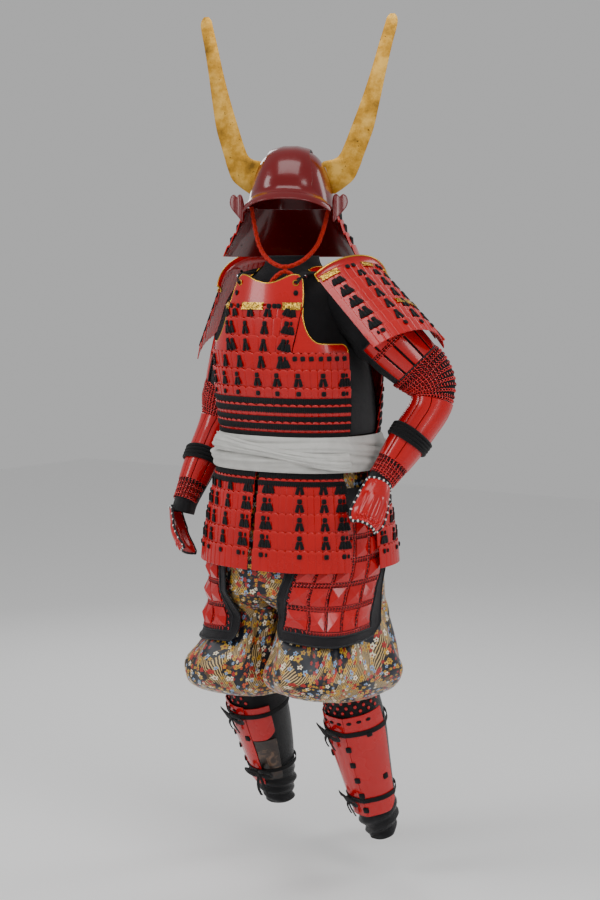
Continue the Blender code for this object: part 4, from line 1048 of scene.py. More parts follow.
def lacing_shapes():
    """Square knots, and slanting runs of braid in twos and fours."""
    knot = template("cube", (0.0114, 0.0116, 0.0048), 0.0023)
    small = template("cube", (0.0060, 0.0095, 0.0036), 0.0016)
    leg = template("cube", (0.0096, 0.0200, 0.0040), 0.0019, narrow=0.74)
    pair = merged(turned(leg, -13, (-0.0050, 0.0, 0.0)), turned(leg, 13, (0.0050, 0.0, 0.0006)))
    wide = merged(turned(leg, -17, (-0.0105, 0.0, 0.0)), turned(leg, 4, (-0.0035, 0.0, 0.0007)),
                  turned(leg, -4, (0.0045, 0.0, 0.0)), turned(leg, 16, (0.0110, 0.0, 0.0007)))
    return {"knot": knot, "small": small, "pair": pair, "wide": wide}


SCALE_STEPS = 8
# Across one plate scale: how far its face stands out and how far its head is cut down, in metres
SCALE_FACE = (-0.0009, -0.0002, 0.0000, 0.0002, 0.0003, 0.0004, 0.0005, 0.0006)
SCALE_HEAD = (-0.0046, -0.0020, -0.0007, 0.0000, 0.0000, -0.0005, -0.0013, -0.0028)
ROW_LEVELS = [0.0, 0.45, 0.86, 0.95, 1.0]


class Lames:
    """Runs of laced lames on a form. place(share, height, out): share -1 to 1, height falls down the run."""

    def __init__(self, name, place, scales, width, low_out=0.0034, high_out=0.0076, scallop=1.0, under=0.0065):
        self.name, self.place, self.scales, self.width = name, place, scales, width
        self.low_out, self.high_out, self.scallop, self.under = low_out, high_out, scallop, under
        self.rows, self.bands = [], []
        self.marks = {"knot": [], "small": [], "pair": [], "wide": []}

    def face(self, height, low, top):
        share = min(1.0, max(0.0, (height - low) / (top - low)))
        return between(self.low_out, self.high_out, share)

    def row(self, top, low, last=False):
        """A lame from its scalloped head down to under the next one's head."""
        bottom = low if last else low - self.under

        def place(u, v, out):
            k = round(u * self.scales * SCALE_STEPS) % SCALE_STEPS
            head = SCALE_HEAD[k] * self.scallop * max(0.0, (v - 0.6) / 0.4)
            height = between(bottom, top, v) + head
            ends = 0.0006 * (1 - v)
            return self.place(2 * u - 1, height, self.face(height, bottom, top) + SCALE_FACE[k] + out - ends)

        columns = self.scales * SCALE_STEPS
        # The edge values mark the top of each scale head, where the lacquer gets its painted highlight
        self.rows.append(surface(f"{self.name}_row_{len(self.rows)}", place, columns, len(ROW_LEVELS) - 1,
                                 sizes().lame_plate, (self.width, top - bottom), round_edge=0.0005, levels=ROW_LEVELS,
                                 edge=lambda u, v: max(0.0, (v - 0.93) / 0.07) * 0.8, angle=25))

    def mark(self, kind, share, height, top, low):
        bottom = low - self.under

        def place(u, v, out):
            return self.place(u, v, self.face(v, bottom, top) + out)

        self.marks[kind].append(frame_at(place, share, height, 0.0014 if kind in ("knot", "small") else 0.0012))

    def lace(self, top, low, columns, doubles, knots=True, pairs=True, knot_drop=0.0145, pair_rise=0.0120):
        """Knots under the head and slanting runs above the next head. doubles are columns with a second braid."""
        for share in columns:
            if knots:
                self.mark("knot", share, top - knot_drop, top, low)
            if pairs:
                self.mark("pair", share, low + pair_rise, top, low)
        for share in doubles:
            step = 0.0058 / (self.width / 2)
            if knots:
                self.mark("knot", share - step, top - knot_drop, top, low)
                self.mark("small", share + step, top - knot_drop, top, low)
            if pairs:
                self.mark("wide", share, low + pair_rise, top, low)

    def band(self, high, low, top, bottom, loops, lift=0.0022):
        """Close lacing: upright loops side by side, with a notched lower edge."""
        def place(u, v, out):
            k = round(u * loops * 4) % 4
            bulge = (0.0, 0.0010, 0.0013, 0.0010)[k] * (1 - abs(2 * v - 1) ** 3)
            height = between(low, high, v) - (0.0, 0.0012, 0.0026, 0.0012)[k] * (1 - v) * 1.2
            return self.place(2 * u - 1, height, self.face(height, bottom, top) + lift + bulge + out)

        self.bands.append(surface(f"{self.name}_band_{len(self.bands)}", place, loops * 4, 3, 0.0016,
                                  (self.width, high - low)))

    def finish(self, shapes, *nodes):
        settle(join(f"{self.name}_lames", self.rows), "lacquer", *nodes)
        laces = [stamp(f"{self.name}_{kind}", shapes[kind], frames) for kind, frames in self.marks.items() if frames]
        settle(join(f"{self.name}_lacing", laces + self.bands), "braid")


def fitting(name, place, span, height, width, length):
    """A gilded plate with swallow tailed ends and two bosses."""
    def patch(u, v, out):
        notch = 0.10 * (1 - abs(2 * v - 1)) if u in (0.0, 1.0) else 0.0
        across = between(span[0], span[1], u + (notch if u == 0.0 else -notch))
        boss = sum(0.0022 * max(0.0, 1 - ((u - c) * width / 0.0075) ** 2 - ((v - 0.5) * length / 0.0062) ** 2)
                   for c in (0.36, 0.64))
        return place(across, height + (v - 0.5) * length, 0.0024 + boss + out)

    made = surface(name, patch, 24, 8, 0.0018, (width, length), round_edge=0.0004)
    return settle(made, "gilt")


def mail_on(name, place, width, height, keep=None, lift=0.0009):
    """Linked rings in staggered rows on a surface, width and height in metres."""
    pitch = sizes().ring_pitch
    across, down = max(2, int(width / pitch)), max(2, int(height / (pitch * 0.94)))
    frames = []
    for r in range(down + 1):
        for c in range(across):
            u = (c + (0.5 if r % 2 else 0.0) + 0.25) / across
            v = r / down
            if keep and not keep(u, v):
                continue
            lean = Matrix.Rotation(math.radians(26 if r % 2 else -26), 4, "Y")
            frames.append(frame_at(place, min(u, 0.999), v, lift) @ lean)
    shape = template("ring", (pitch * 1.12, pitch * 1.12, pitch * 0.9))
    return settle(stamp(name, shape, frames), "links")


def soft(x, y, z=0.0):
    """A slow random wave between -1 and 1, the same at each run."""
    return noise.noise(Vector((x, y, z)))


# Helmet

def bowl_skin(u, v, out):
    turn = 360 * u
    if v < 0.9:
        height = BOWL[-1][0] * math.sin(math.pi / 2 * (v / 0.9) ** 0.9)
        return head_point(bowl_point(BOWL, turn, brow_lift(turn, height), out))
    rim = bowl_point(BOWL, turn, BOWL[-1][0], out)
    share = (v - 0.9) / 0.1
    return head_point(Vector((rim.x * (1 - share), rim.y * (1 - share), rim.z + out + 0.002 * math.sin(share * 1.57))))


def front_plate_skin(u, v, out):
    share = 2 * u - 1
    column = []
    for reach, fall in ((0.029, -0.006), (0.016, 0.006)):
        column.append(bowl_point(BOWL, share * 60, 0.024, BROW_SEAT + PLATE + out)
                      + Vector((share * 0.010, -reach * (1 - 0.35 * share * share), fall - 0.028 * share * share)))
    for pitch in (7, 22, 40, 60, 82, 104, 126):
        narrowing = 1 - 0.28 * max(0.0, math.sin(math.radians(min(pitch, 90)))) ** 2
        column.append(bowl_reach(share * 0.066 * narrowing, pitch, BROW_SEAT + PLATE + out))
    return head_point(through(column, v))


def horn_skin(side):
    edges = [(h, max(inner, look_up(BOWL, h)[0] + HORN_SEAT if h < 0.113 else 0.0), outer) for h, inner, outer in HORN]

    def place(u, v, out):
        height = between(HORN[0][0], HORN[-1][0], v)
        inner, outer = look_up(edges, height)
        crown = 0.0014 * (1 - (2 * u - 1) ** 2)
        back = 0.012 + 0.26 * max(0.0, height - 0.06) - out - crown + 0.0014
        return head_point((side * between(inner, outer, u), back, height))

    return place


def flap_skin(side):
    def place(u, v, out):
        low = bowl_point(NECK_GUARD_FLARE, GUARD_EDGE_TURN - 0.25, -0.0270, out + PLATE)
        high = bowl_point(NECK_GUARD_FLARE, GUARD_EDGE_TURN - 0.25, 0.0, out + PLATE)
        lows, highs = [Vector((side * low.x, low.y, low.z))], [Vector((side * high.x, high.y, high.z))]
        for k, (x, y, bottom, top) in enumerate(FLAP_BEND):
            before, after = FLAP_BEND[max(k - 1, 0)], FLAP_BEND[min(k + 1, len(FLAP_BEND) - 1)]
            run = Vector((after[0] - before[0], after[1] - before[1])).normalized()
            spot = (side * (x - run.y * (out + PLATE)), y + run.x * (out + PLATE))
            lows.append(Vector((*spot, bottom)))
            highs.append(Vector((*spot, top)))
        return head_point(through(lows, u).lerp(through(highs, u), v))

    return place


def make_helmet(shapes):
    bowl = surface("helmet_bowl_plates", bowl_skin, 72, 20, 0.0022, (0.70, 0.16), closed=True)
    settle(bowl, "dark", "helmet_bowl")
    plate = surface("helmet_brow_plate", front_plate_skin, 32, 44, 0.0028, (0.13, 0.26), round_edge=0.0008)
    settle(plate, "dark", "helmet_front_plate")
    edge = [front_plate_skin(u, 0.0, -0.001) for u in spread(0.0, 1.0, 40)]
    settle(rod("helmet_brim_edge", edge, 0.0022), "dark")
    for side in (LEFT, RIGHT):
        name = SIDE_NAMES[side]
        horn = surface(f"horn_{name}_gilded", horn_skin(side), 8, 90, HORN_THICKNESS, (0.03, 0.45), round_edge=0.0009)
        settle(horn, "leaf", f"horn_{name}")
        flap = surface(f"ear_flap_{name}_plate", flap_skin(side), 40, 8, 0.0026, (0.08, 0.03), round_edge=0.0008)
        settle(flap, "dark", f"ear_flap_{name}")
        rim = [flap_skin(side)(u, 1.0, -0.0013) for u in spread(0.25, 1.0, 30)]
        rim += [flap_skin(side)(1.0, v, -0.0013) for v in spread(0.8, 0.0, 5)]
        rim += [flap_skin(side)(u, 0.0, -0.0013) for u in spread(0.97, 0.25, 30)]
        settle(rod(f"ear_flap_{name}_rim", rim, 0.0018), "dark")
        lean = frame_at(flap_skin(side), 0.74, 0.5, 0.0005, 0.01)
        studs = stamp(f"ear_flap_{name}_boss", template("bead", (0.007, 0.007, 0.004)), [lean])
        settle(studs, "gilt")

    def flare(share, height, out):
        return head_point(bowl_point(NECK_GUARD_FLARE, 180 + share * (180 - GUARD_EDGE_TURN), height, out))

    guard = Lames("neck_guard", flare, scales_in(0.46, 0.95), 0.46)
    tops = (0.001, -0.029, -0.059, -0.089, -0.117)
    for k, (top, low) in enumerate(zip(tops, tops[1:])):
        guard.row(top, low, k == 3)
        if k < 3:
            guard.lace(top, low, (-0.9, -0.68, -0.46, -0.23, 0.0, 0.23, 0.46, 0.68, 0.9), (), pair_rise=0.0085,
                       knots=k > 0)
    guard.finish(shapes, "neck_guard")
    lining = surface("neck_guard_inner_face", lambda u, v, out: flare(2 * u - 1, between(-0.1165, 0.0, v), out), 60, 8,
                     0.0, (0.46, 0.12))
    settle(lining, "dark")


# Chin cords

def braided(name, route, radius, count):
    """Four strands wound round each other, two each way, along a route."""
    line = smooth_route(route, count)
    strands = []
    for k in range(4):
        points = []
        for i, spot in enumerate(line):
            ahead = (line[min(i + 1, count - 1)] - line[max(i - 1, 0)]).normalized()
            side = ahead.orthogonal().normalized() if i == 0 else (side - ahead * side.dot(ahead)).normalized()
            other = ahead.cross(side)
            turn = (1 if k < 2 else -1) * i * 0.62 + math.pi * (k % 2) + (math.pi / 2 if k > 1 else 0)
            reach = radius * 0.47 * (1 + 0.12 * math.sin(2 * turn + k))
            points.append(spot + (side * math.cos(turn) + other * math.sin(turn)) * reach)
        strands.append(rod(f"{name}_strand_{k}", points, radius * 0.56, fine=1))
    return join(name, strands), line


def route_length(points):
    return sum((b - a).length for a, b in zip(points, points[1:]))


def make_chin_cords(shapes):
    def both_sides(route):
        return [head_point(p) for p in reversed(route)] + [head_point((-p[0], p[1], p[2])) for p in route[1:]]

    for name, route, count, lay in (("chin_cord", CHEEK_ROUTE, 130, "taut"),
                                    ("chin_cord_ends", TAIL_ROUTE, 50, "hanging")):
        piece, line = braided(f"{name}_braid", both_sides(route), CORD_RADIUS, count)
        settle(piece, "red_cord", name)


# Cuirass

def scales_in(width, share=1.0):
    """How many scale heads a lame of that width shows, each a share of the cuirass's scale width."""
    return max(4, round(width / (sizes().scale_width * share)))


def torso_plate(turn_at, low_at, top_at):
    def place(u, v, out):
        height = between(low_at(u), top_at(u), v)
        return round_form(TORSO, turn_at(u, height), height, PLATE + out)

    return place


def neck_edge(share):
    rise = 0.5 - 0.5 * math.cos(math.pi * min(1.0, abs(share) / 0.80))
    fall = max(0.0, (abs(share) - 0.86) / 0.14)
    return 1.487 + 0.020 * rise - 0.012 * fall ** 2


def upper_skin(facing):
    return lambda share, height, out: round_form(TORSO, upper_turn(share, height, facing), height, out)


def wide_skin(facing):
    def place(share, height, out):
        turn = -90 + 72 * share if facing < 0 else 90 - share * look_up(BACK_SPAN, height)[0]
        return round_form(TORSO, turn, height, out)

    return place


def edge_rod(name, place, sides, radius, finish="rim", steps=40, inset=-0.0012):
    """A rod round chosen edges of a plate: top, left, right and bottom, in the order given."""
    walks = {"left": lambda t: (0.0, t), "top": lambda t: (t, 1.0), "right": lambda t: (1.0, 1 - t),
             "bottom": lambda t: (1 - t, 0.0)}
    points = []
    for side in sides:
        points += [place(*walks[side](t), inset) for t in spread(0.0, 1.0, steps)][1 if points else 0:]
    return settle(rod(name, points, radius), finish)


def make_cuirass(shapes):
    for half, facing in (("front", -1), ("back", 1)):
        name = "breast_plate" if facing < 0 else "back_plate"
        skin = torso_plate(lambda u, h, facing=facing: upper_turn(2 * u - 1, h, facing),
                           lambda u: NARROW_TOPS[0] - 0.002, lambda u: neck_edge(2 * u - 1))
        settle(surface(f"{name}_lacquered", skin, 48, 12, 0.0026, (0.20, 0.07), round_edge=0.0006), "lacquer", name)
        edge_rod(f"{name}_rim", skin, ("left", "top", "right"), sizes().rim_radius)
        upper = Lames(f"{half}_upper", upper_skin(facing), scales_in(0.20), 0.19)
        low_ends = (*NARROW_TOPS[1:], WIDE_TOPS[0])
        for k, (top, low, wide) in enumerate(zip(NARROW_TOPS, low_ends, (0.20, 0.18, 0.155))):
            upper.scales = scales_in(wide)
            upper.row(top, low)
            if k == 0:
                upper.lace(top, low, (-0.97, -0.65, -0.20, 0.18), (0.72,), knots=False, pair_rise=0.0105)
            else:
                upper.lace(top, low, (-0.97, -0.78, -0.32, 0.13), (0.76,))
        upper.finish(shapes, f"{half}_upper_lames")
        # Fittings over the seam between the smooth plate and the first lame, with knots between them
        seam = NARROW_TOPS[0] + 0.0005
        for k, (first, last) in enumerate(((-0.99, -0.86), (-0.42, 0.07), (0.49, 0.97))):
            fitting(f"{half}_seam_fitting_{k}", lifted(upper_skin(facing), 0.0075), (first, last), seam,
                    (last - first) * 0.1, 0.017)
        frames = [frame_at(lifted(upper_skin(facing), 0.0088), s, seam) for s in (-0.78, -0.53, 0.19, 0.32, 0.42)]
        settle(stamp(f"{half}_seam_knots", shapes["knot"], frames), "braid")

        span = 0.51 if facing < 0 else 0.45
        wide = Lames(f"{half}_lower", wide_skin(facing), scales_in(span), span)
        if facing < 0:
            first_row = ((-0.60, -0.33, -0.13, 0.06, 0.39, 0.47, 0.56, 0.66, 0.75, 0.84, 0.93), (0.27,))
            others = ((-0.60, -0.36, -0.17, 0.02, 0.20, 0.41, 0.67), (-0.93, 0.92))
        else:
            first_row = ((-0.55, -0.2, 0.2, 0.55), (-0.88, 0.88))
            others = first_row
        ends = (*WIDE_TOPS[1:], WIDE_BOTTOM)
        for k, (top, low) in enumerate(zip(WIDE_TOPS, ends)):
            wide.row(top, low, k == 4)
            if k < 2:
                if k == 0 and facing < 0:
                    wide.lace(top, low, [s for s in first_row[0] if s < 0.35], first_row[1])
                    wide.lace(top, low, [s for s in first_row[0] if s > 0.35], (), pairs=False)
                else:
                    wide.lace(top, low, *others)
            elif k == 2:
                wide.lace(top, low, *others, pairs=False)
                wide.band(low + 0.0145, low + 0.0015, top, low - 0.0065, 92)
            else:
                # Close lacing round the waist: a band above each head and one under it
                wide.band(top - 0.0055, top - 0.0185, top, low, 92, lift=0.0012)
                wide.band(low + 0.0125 if k == 3 else low + 0.016, low + 0.0015, top, low - 0.0065, 92)
        wide.finish(shapes, f"{half}_lower_lames")
    for side in (LEFT, RIGHT):
        make_armpit_plate(side)
        make_strap(side)


def make_armpit_plate(side):
    name = SIDE_NAMES[side]

    def turn_at(u, height):
        start = upper_turn(side, height, -1) + side * 0.6
        return between(start, WIDE_TURNS[1] if side == LEFT else WIDE_TURNS[0], u)

    def top_at(u):
        return 1.344 + 0.084 * (1 - min(1.0, u / 0.55)) ** 2.4 - 0.010 * max(0.0, (u - 0.9) / 0.1) ** 2

    skin = torso_plate(turn_at, lambda u: WIDE_TOPS[0] - 0.002, top_at)
    settle(surface(f"armpit_plate_{name}_lacquered", skin, 44, 8, 0.0026, (0.18, 0.05), round_edge=0.0006), "lacquer",
           f"armpit_plate_{name}")
    edge_rod(f"armpit_plate_{name}_rim", skin, ("top", "right"), sizes().rim_radius)


def strap_skin(side):
    def place(u, v, out):
        x, y = side * between(0.074, 0.112, u) - 0.012, between(0.080, -0.052, v)
        return Vector((x, y, yoke_top(x, y) + STRAP_LIFT + PLATE + out))

    return place


def make_strap(side):
    name, skin = SIDE_NAMES[side], strap_skin(side)
    settle(surface(f"shoulder_strap_{name}_lacquered", skin, 12, 30, 0.0026, (0.04, 0.14), round_edge=0.0007),
           "lacquer", f"shoulder_strap_{name}")
    edge_rod(f"shoulder_strap_{name}_rim", skin, ("left", "top", "right"), 0.0017)
    # Doubled cord from the eyelets on the breast plate up to the strap's end, with a toggle on it
    breast = torso_plate(lambda u, h: upper_turn(2 * u - 1, h, -1), lambda u: NARROW_TOPS[0],
                         lambda u: neck_edge(2 * u - 1))
    share = 0.5 + side * 0.40
    eye = breast(share, 0.74, 0.003)
    foot = skin(0.5, 0.97, 0.003)
    cords = []
    for k, shift in enumerate((-0.008, 0.0, 0.008)):
        sideways = Vector((shift, 0.0, 0.0))
        middle = (eye + foot) / 2 + Vector((0.0, -0.016, 0.008))
        route = smooth_route([eye + sideways * 0.4, middle + sideways, foot + sideways], 16)
        cords.append(rod(f"strap_cord_{name}_{k}", route, 0.0033))
    settle(join(f"strap_cord_{name}", cords), "braid")
    lean = frame_at(breast, share, 0.74, 0.0012, 0.02)
    settle(stamp(f"breast_eyelet_{name}", template("eyelet", (0.016, 0.016, 0.014)), [lean]), "rim")
    pad = frame_at(breast, share, 0.42, 0.0016, 0.02)
    settle(stamp(f"breast_pad_{name}", template("bead", (0.012, 0.014, 0.006)), [pad]), "braid")
    ends = [(eye + foot) / 2 + Vector((x, -0.018, 0.004)) for x in (-0.013, 0.013)]
    settle(rod(f"strap_toggle_{name}", ends, 0.0042), "steel")


# Shoulder guards

def guard_skin(side):
    return lambda share, height, out: guard_point(side, -height, share, out)


def make_shoulder_guard(side, name, shapes):
    skin, row = guard_skin(side), GUARD_PITCH
    guard = Lames(f"shoulder_guard_{name}", skin, scales_in(0.27, 0.85), 0.27, scallop=0.30)
    for k in range(GUARD_ROWS):
        last = k == GUARD_ROWS - 1
        top, low = -k * row, -(GUARD_LENGTH - 0.024) if last else -(k + 1) * row
        guard.row(top, low, last)
        guard.lace(top, low, (0.25, -0.12, -0.45, -0.80), (0.74,), knots=k > 0, pairs=not last)
    guard.finish(shapes, f"shoulder_guard_{name}")
    levels = [Vector((*level, 0.0)) for level in ((0.0030, 0.0), (-0.009, 0.0010), (-0.017, 0.0055), (-0.022, 0.0130))]

    def cap(u, v, out):
        share = 2 * u - 1
        along, flare = through(levels, v)[:2]
        return guard_point(side, along * (1 - 0.35 * share ** 4), share, flare + PLATE + 0.0012 + out)

    settle(surface(f"shoulder_guard_cap_{name}_lacquered", cap, 48, 10, 0.0026, (0.27, 0.03), round_edge=0.0007),
           "lacquer", f"shoulder_guard_cap_{name}")
    edge_rod(f"shoulder_guard_cap_{name}_rim", cap, ("left", "top", "right"), 0.0021)
    for k, (first, last) in enumerate(((0.97, 0.60), (0.12, -0.14), (-0.55, -0.88))):
        fitting(f"guard_{name}_cap_fitting_{k}", lifted(skin, 0.0080), (first, last), -0.002, abs(last - first) * 0.13,
                0.015)
    fitting(f"guard_{name}_side_fitting", lifted(skin, 0.0062), (0.08, -0.86), -3.45 * row, 0.12, 0.013)
    frames = [frame_at(lifted(skin, 0.0095), s, -0.001) for s in (0.42, 0.30, -0.30, -0.42)]
    settle(stamp(f"guard_{name}_cap_knots", shapes["knot"], frames), "braid")
    make_guard_cords(side, name, skin)


def make_shoulder_guards(shapes):
    for side in (LEFT, RIGHT):
        make_shoulder_guard(side, SIDE_NAMES[side], shapes)


def make_guard_cords(side, name, skin):
    """The tie that carries the guard, and the cord that hangs from the ring at its back edge."""
    x, y = side * 0.098 - 0.012, 0.012
    slope = (yoke_top(x + 0.006, y) - yoke_top(x - 0.006, y)) / 0.012
    normal = Vector((-slope, 0.0, 1.0)).normalized()
    foot = Vector((x, y, yoke_top(x, y))) + normal * (STRAP_LIFT + PLATE + 0.0003)
    along, share = TIE_SEAT[side]
    head = guard_point(side, along, share, -0.0015)
    facing = (guard_point(side, along, share, 0.01) - head).normalized()
    route = [foot, foot + normal * 0.012, (foot + head) / 2 + Vector((0, 0, 0.004)), head - facing * 0.012, head]
    tie, _ = braided(f"shoulder_tie_{name}_braid", route, TIE_RADIUS, 40)
    settle(tie, "braid", f"shoulder_tie_{name}")
    ring_at = -3.45 * GUARD_PITCH
    ring = frame_at(lifted(skin, 0.0075), -0.90, ring_at, 0.003)
    settle(stamp(f"guard_{name}_ring", template("eyelet", (0.017, 0.017, 0.012)), [ring]), "gilt")
    route = [skin(-0.90, ring_at, 0.0135) - Vector((0.0, 0.0, 0.0065))]
    route += [skin(-0.93, ring_at - 0.088 * (k / 6), 0.0125) for k in range(1, 7)]
    piece, line = braided(f"guard_{name}_back_cord", route, 0.0032, 60)
    settle(piece, "red_cord")


# Sleeves and arm guards

def limb_skin(limb, first, last, start, end, out, trim=None, fold=None):
    """A patch on a limb: u runs round it between two angles, v up it from the lower end."""
    def place(u, v, more):
        angle = between(first, last, u)
        low = end - (trim(angle) if trim else 0.0)
        along = between(low, start, v)
        return limb.point(along, angle, out + more + (fold(along, angle) if fold else 0.0))

    return place


def sleeve_fold(side):
    def fold(along, angle):
        drag = arm_fold(along, angle)
        deep = max(0.0, 1 - abs(along - 0.30) / 0.22)
        ripple = soft(along * 16 + 3 * math.sin(math.radians(angle)), 2 * math.cos(math.radians(angle)), side * 4.0)
        return drag * 0.7 + 0.0042 * deep * ripple - 0.0006

    return fold


SPLINT_COUNT = 5
# Angles of the seams between the long forearm plates: the middle plate is wide
FOREARM_SEAMS = (-120, -84, -46, -8, 72, 110, 150)


def make_arms(shapes):
    for side in (LEFT, RIGHT):
        name, limb = SIDE_NAMES[side], ARMS[side]
        skin = limb_skin(limb, 0, 360, 0.0, 1.0, 0.0, fold=sleeve_fold(side))
        sleeve = surface(f"sleeve_{name}_cotton", skin, 54, 96, CLOTH, (0.38, limb.length), closed=True, angle=80)
        settle(sleeve, "cotton", f"sleeve_{name}")

        first, last = (-48, 72) if side == LEFT else (10, 130)
        plates = []
        for k in range(SPLINT_COUNT):
            low, high = between(first, last, (k + 0.06) / SPLINT_COUNT), between(first, last, (k + 0.88) / SPLINT_COUNT)
            for tier, (start, end) in enumerate(((0.285, 0.330), (0.347, 0.455))):
                plate = limb_skin(limb, low, high, start, end, 0.0062)
                plates.append(surface(f"upper_splint_{name}_{k}_{tier}", plate, 8, 10, 0.0024, (0.025, 0.05),
                                      round_edge=0.0008))
        settle(join(f"upper_arm_splints_{name}_plates", plates), "lacquer", f"upper_arm_splints_{name}")
        under = limb_skin(limb, first, last, 0.283, 0.457, 0.0032)
        settle(surface(f"upper_arm_{name}_backing", under, 24, 24, 0.0016, (0.13, 0.09)), "backing")
        edge_rod(f"upper_arm_{name}_piping", under, ("left", "top", "right", "bottom"), 0.0019, "piping", inset=0.0)
        strip = limb_skin(limb, first, last, 0.330, 0.348, 0.0030)
        mail_on(f"upper_arm_{name}_mail", strip, math.radians(last - first) * limb.radius(0.34), 0.018 * limb.length)

        def bulge(along, angle):
            middle = math.sin(math.pi * min(1.0, max(0.0, (along - 0.46) / 0.145)))
            return 0.006 * middle * (1 + 0.5 * math.sin(math.radians(angle)))

        rough = limb_skin(limb, -150, 150, 0.46, 0.605, 0.0018, fold=bulge)

        def elbow(u, v, out, rough=rough):
            ring = [rough(u, level, out) for level in (0.0, 0.25, 0.5, 0.75, 1.0)]
            sag = 0.0016 * soft(u * 7, v * 4, side)
            return through(ring, v) + (rough(u, 0.5, 1.0) - rough(u, 0.5, 0.0)) * sag

        settle(surface(f"elbow_mail_{name}_backing", elbow, 60, 20, 0.0014, (0.26, 0.09)), "backing",
               f"elbow_mail_{name}")
        mail_on(f"elbow_mail_{name}_links", elbow, math.radians(300) * limb.radius(0.53), 0.145 * limb.length)

        under = limb_skin(limb, -120, 150, 0.612, 0.90, 0.0034)
        settle(surface(f"forearm_{name}_backing", under, 40, 24, 0.0012, (0.19, 0.15)), "backing")
        plates = []
        for k in range(len(FOREARM_SEAMS) - 1):
            low, high = FOREARM_SEAMS[k] + 0.9, FOREARM_SEAMS[k + 1] - 0.9

            def crown(along, angle, low=low, high=high):
                middle = 1 - (2 * (angle - low) / (high - low) - 1) ** 2
                return 0.0012 * middle

            plate = limb_skin(limb, low, high, 0.612, 0.885, 0.0050, fold=crown)
            plates.append(surface(f"forearm_plate_{name}_{k}", plate, 14, 16, 0.0022, (0.03, 0.15), round_edge=0.0007))
        settle(join(f"forearm_guard_{name}_plates", plates), "lacquer", f"forearm_guard_{name}")
        cuff = limb_skin(limb, -110, 140, 0.885, 0.955, 0.0022)
        settle(surface(f"cuff_{name}_backing", cuff, 30, 8, 0.0012, (0.14, 0.04)), "backing")
        mail_on(f"cuff_{name}_mail", cuff, math.radians(250) * limb.radius(0.92), 0.07 * limb.length)
        bands = []
        for k, along in enumerate((0.758, 0.771, 0.784, 0.797)):
            points = [limb.point(along + 0.002 * math.sin(math.radians(2 * a + 40 * k)), a, 0.0090)
                      for a in spread(0, 354, 60)]
            bands.append(rod(f"forearm_tie_{name}_{k}", points, 0.0050, closed=True))
        settle(join(f"forearm_tie_{name}", bands), "braid")
        make_hand_guard(side)


def hand_skin(side):
    knuckles, facing = (Vector(v) for v in HANDS[side])
    wrist, _ = ARMS[side].at(1.0)
    ahead = (knuckles - wrist).normalized()
    wrist = wrist + ahead * CUFF_STEP[side]
    cuff = ARMS[side].radius(1.0) + CUFF_CLEAR[side]
    up = (facing.normalized() - ahead * facing.normalized().dot(ahead)).normalized()
    across = ahead.cross(up)
    length = (knuckles - wrist).length

    def place(u, v, out):
        level, share = 1 - v, 2 * u - 1
        fullness = math.sin(math.pi * min(1.0, level * 1.1) / 2)
        half, lift = between(cuff, 0.046, fullness), between(cuff, 0.034, fullness)
        half *= 1 - 0.30 * max(0.0, (level - 0.72) / 0.28) ** 2
        bend = math.radians(62 * share)
        rise = half * (math.cos(bend) - 1) * between(1.0, 1.05, fullness)
        sideways = half * math.sin(bend) * between(1.0, 1.12, fullness)
        window = max(0.0, 1 - ((level - 0.64) / 0.28) ** 4)
        ridge = 0.0042 * window * (0.5 - 0.5 * math.cos(2 * math.pi * (share + 0.84) / 0.42))
        height = lift + rise + out + PLATE + ridge - 0.030 * max(0.0, level) ** 2.2
        return wrist + ahead * (length * level) + across * sideways + up * height

    return place


def make_hand_guard(side):
    name, skin = SIDE_NAMES[side], hand_skin(side)
    settle(surface(f"hand_guard_{name}_plate", skin, 64, 28, 0.0028, (0.09, 0.09), round_edge=0.0007), "lacquer",
           f"hand_guard_{name}")
    edge_rod(f"hand_guard_{name}_piping", skin, ("left", "top", "right", "bottom"), 0.0030, "piping")
    walks = [lambda s: (0.0, s), lambda s: (s, 1.0), lambda s: (1.0, 1 - s), lambda s: (1 - s, 0.0)]
    frames = []
    for walk in walks:
        frames += [frame_at(skin, *walk(between(0.06, 0.94, k / 6)), -0.0004, 0.01) for k in range(7)]
    settle(stamp(f"hand_guard_{name}_white_turns", template("bead", (0.0066, 0.0066, 0.0068)), frames), "white_piping")
    lower = lambda u, v, out: skin(between(0.12, 0.88, u), between(0.05, 0.14, v), out)
    mail_on(f"hand_guard_{name}_mail", lower, 0.070, 0.012, lift=0.0016)


# Sash

BELT_FORM = ((BELT_LOW, 0.2125, 0.1815, 0.0, 0.0), (BELT_HIGH, 0.1976, 0.1696, 0.0, 0.0))


def sash_skin(u, v, out):
    turn, folds = 360 * u, 0.0
    for k, (pitch, depth) in enumerate(((4.6, 0.0040), (8.5, 0.0020))):
        slip = 0.55 * math.sin(math.radians(turn * (k + 1) + 40 * k)) + 0.2 * math.sin(math.radians(3 * turn))
        folds += depth * (2 * abs(math.sin(math.pi * (v * pitch / 1.6 + slip))) - 1)
    roll = 0.010 * math.sin(math.pi * min(1.0, max(0.0, v))) ** 0.6
    wander = 0.0018 * soft(math.cos(math.radians(turn)) * 3, math.sin(math.radians(turn)) * 3, v * 3)
    height = between(BELT_LOW, BELT_HIGH, v)
    return round_form(BELT_FORM, turn, height, 0.0012 + roll + folds * 1.15 * math.sin(math.pi * v) + wander + out)


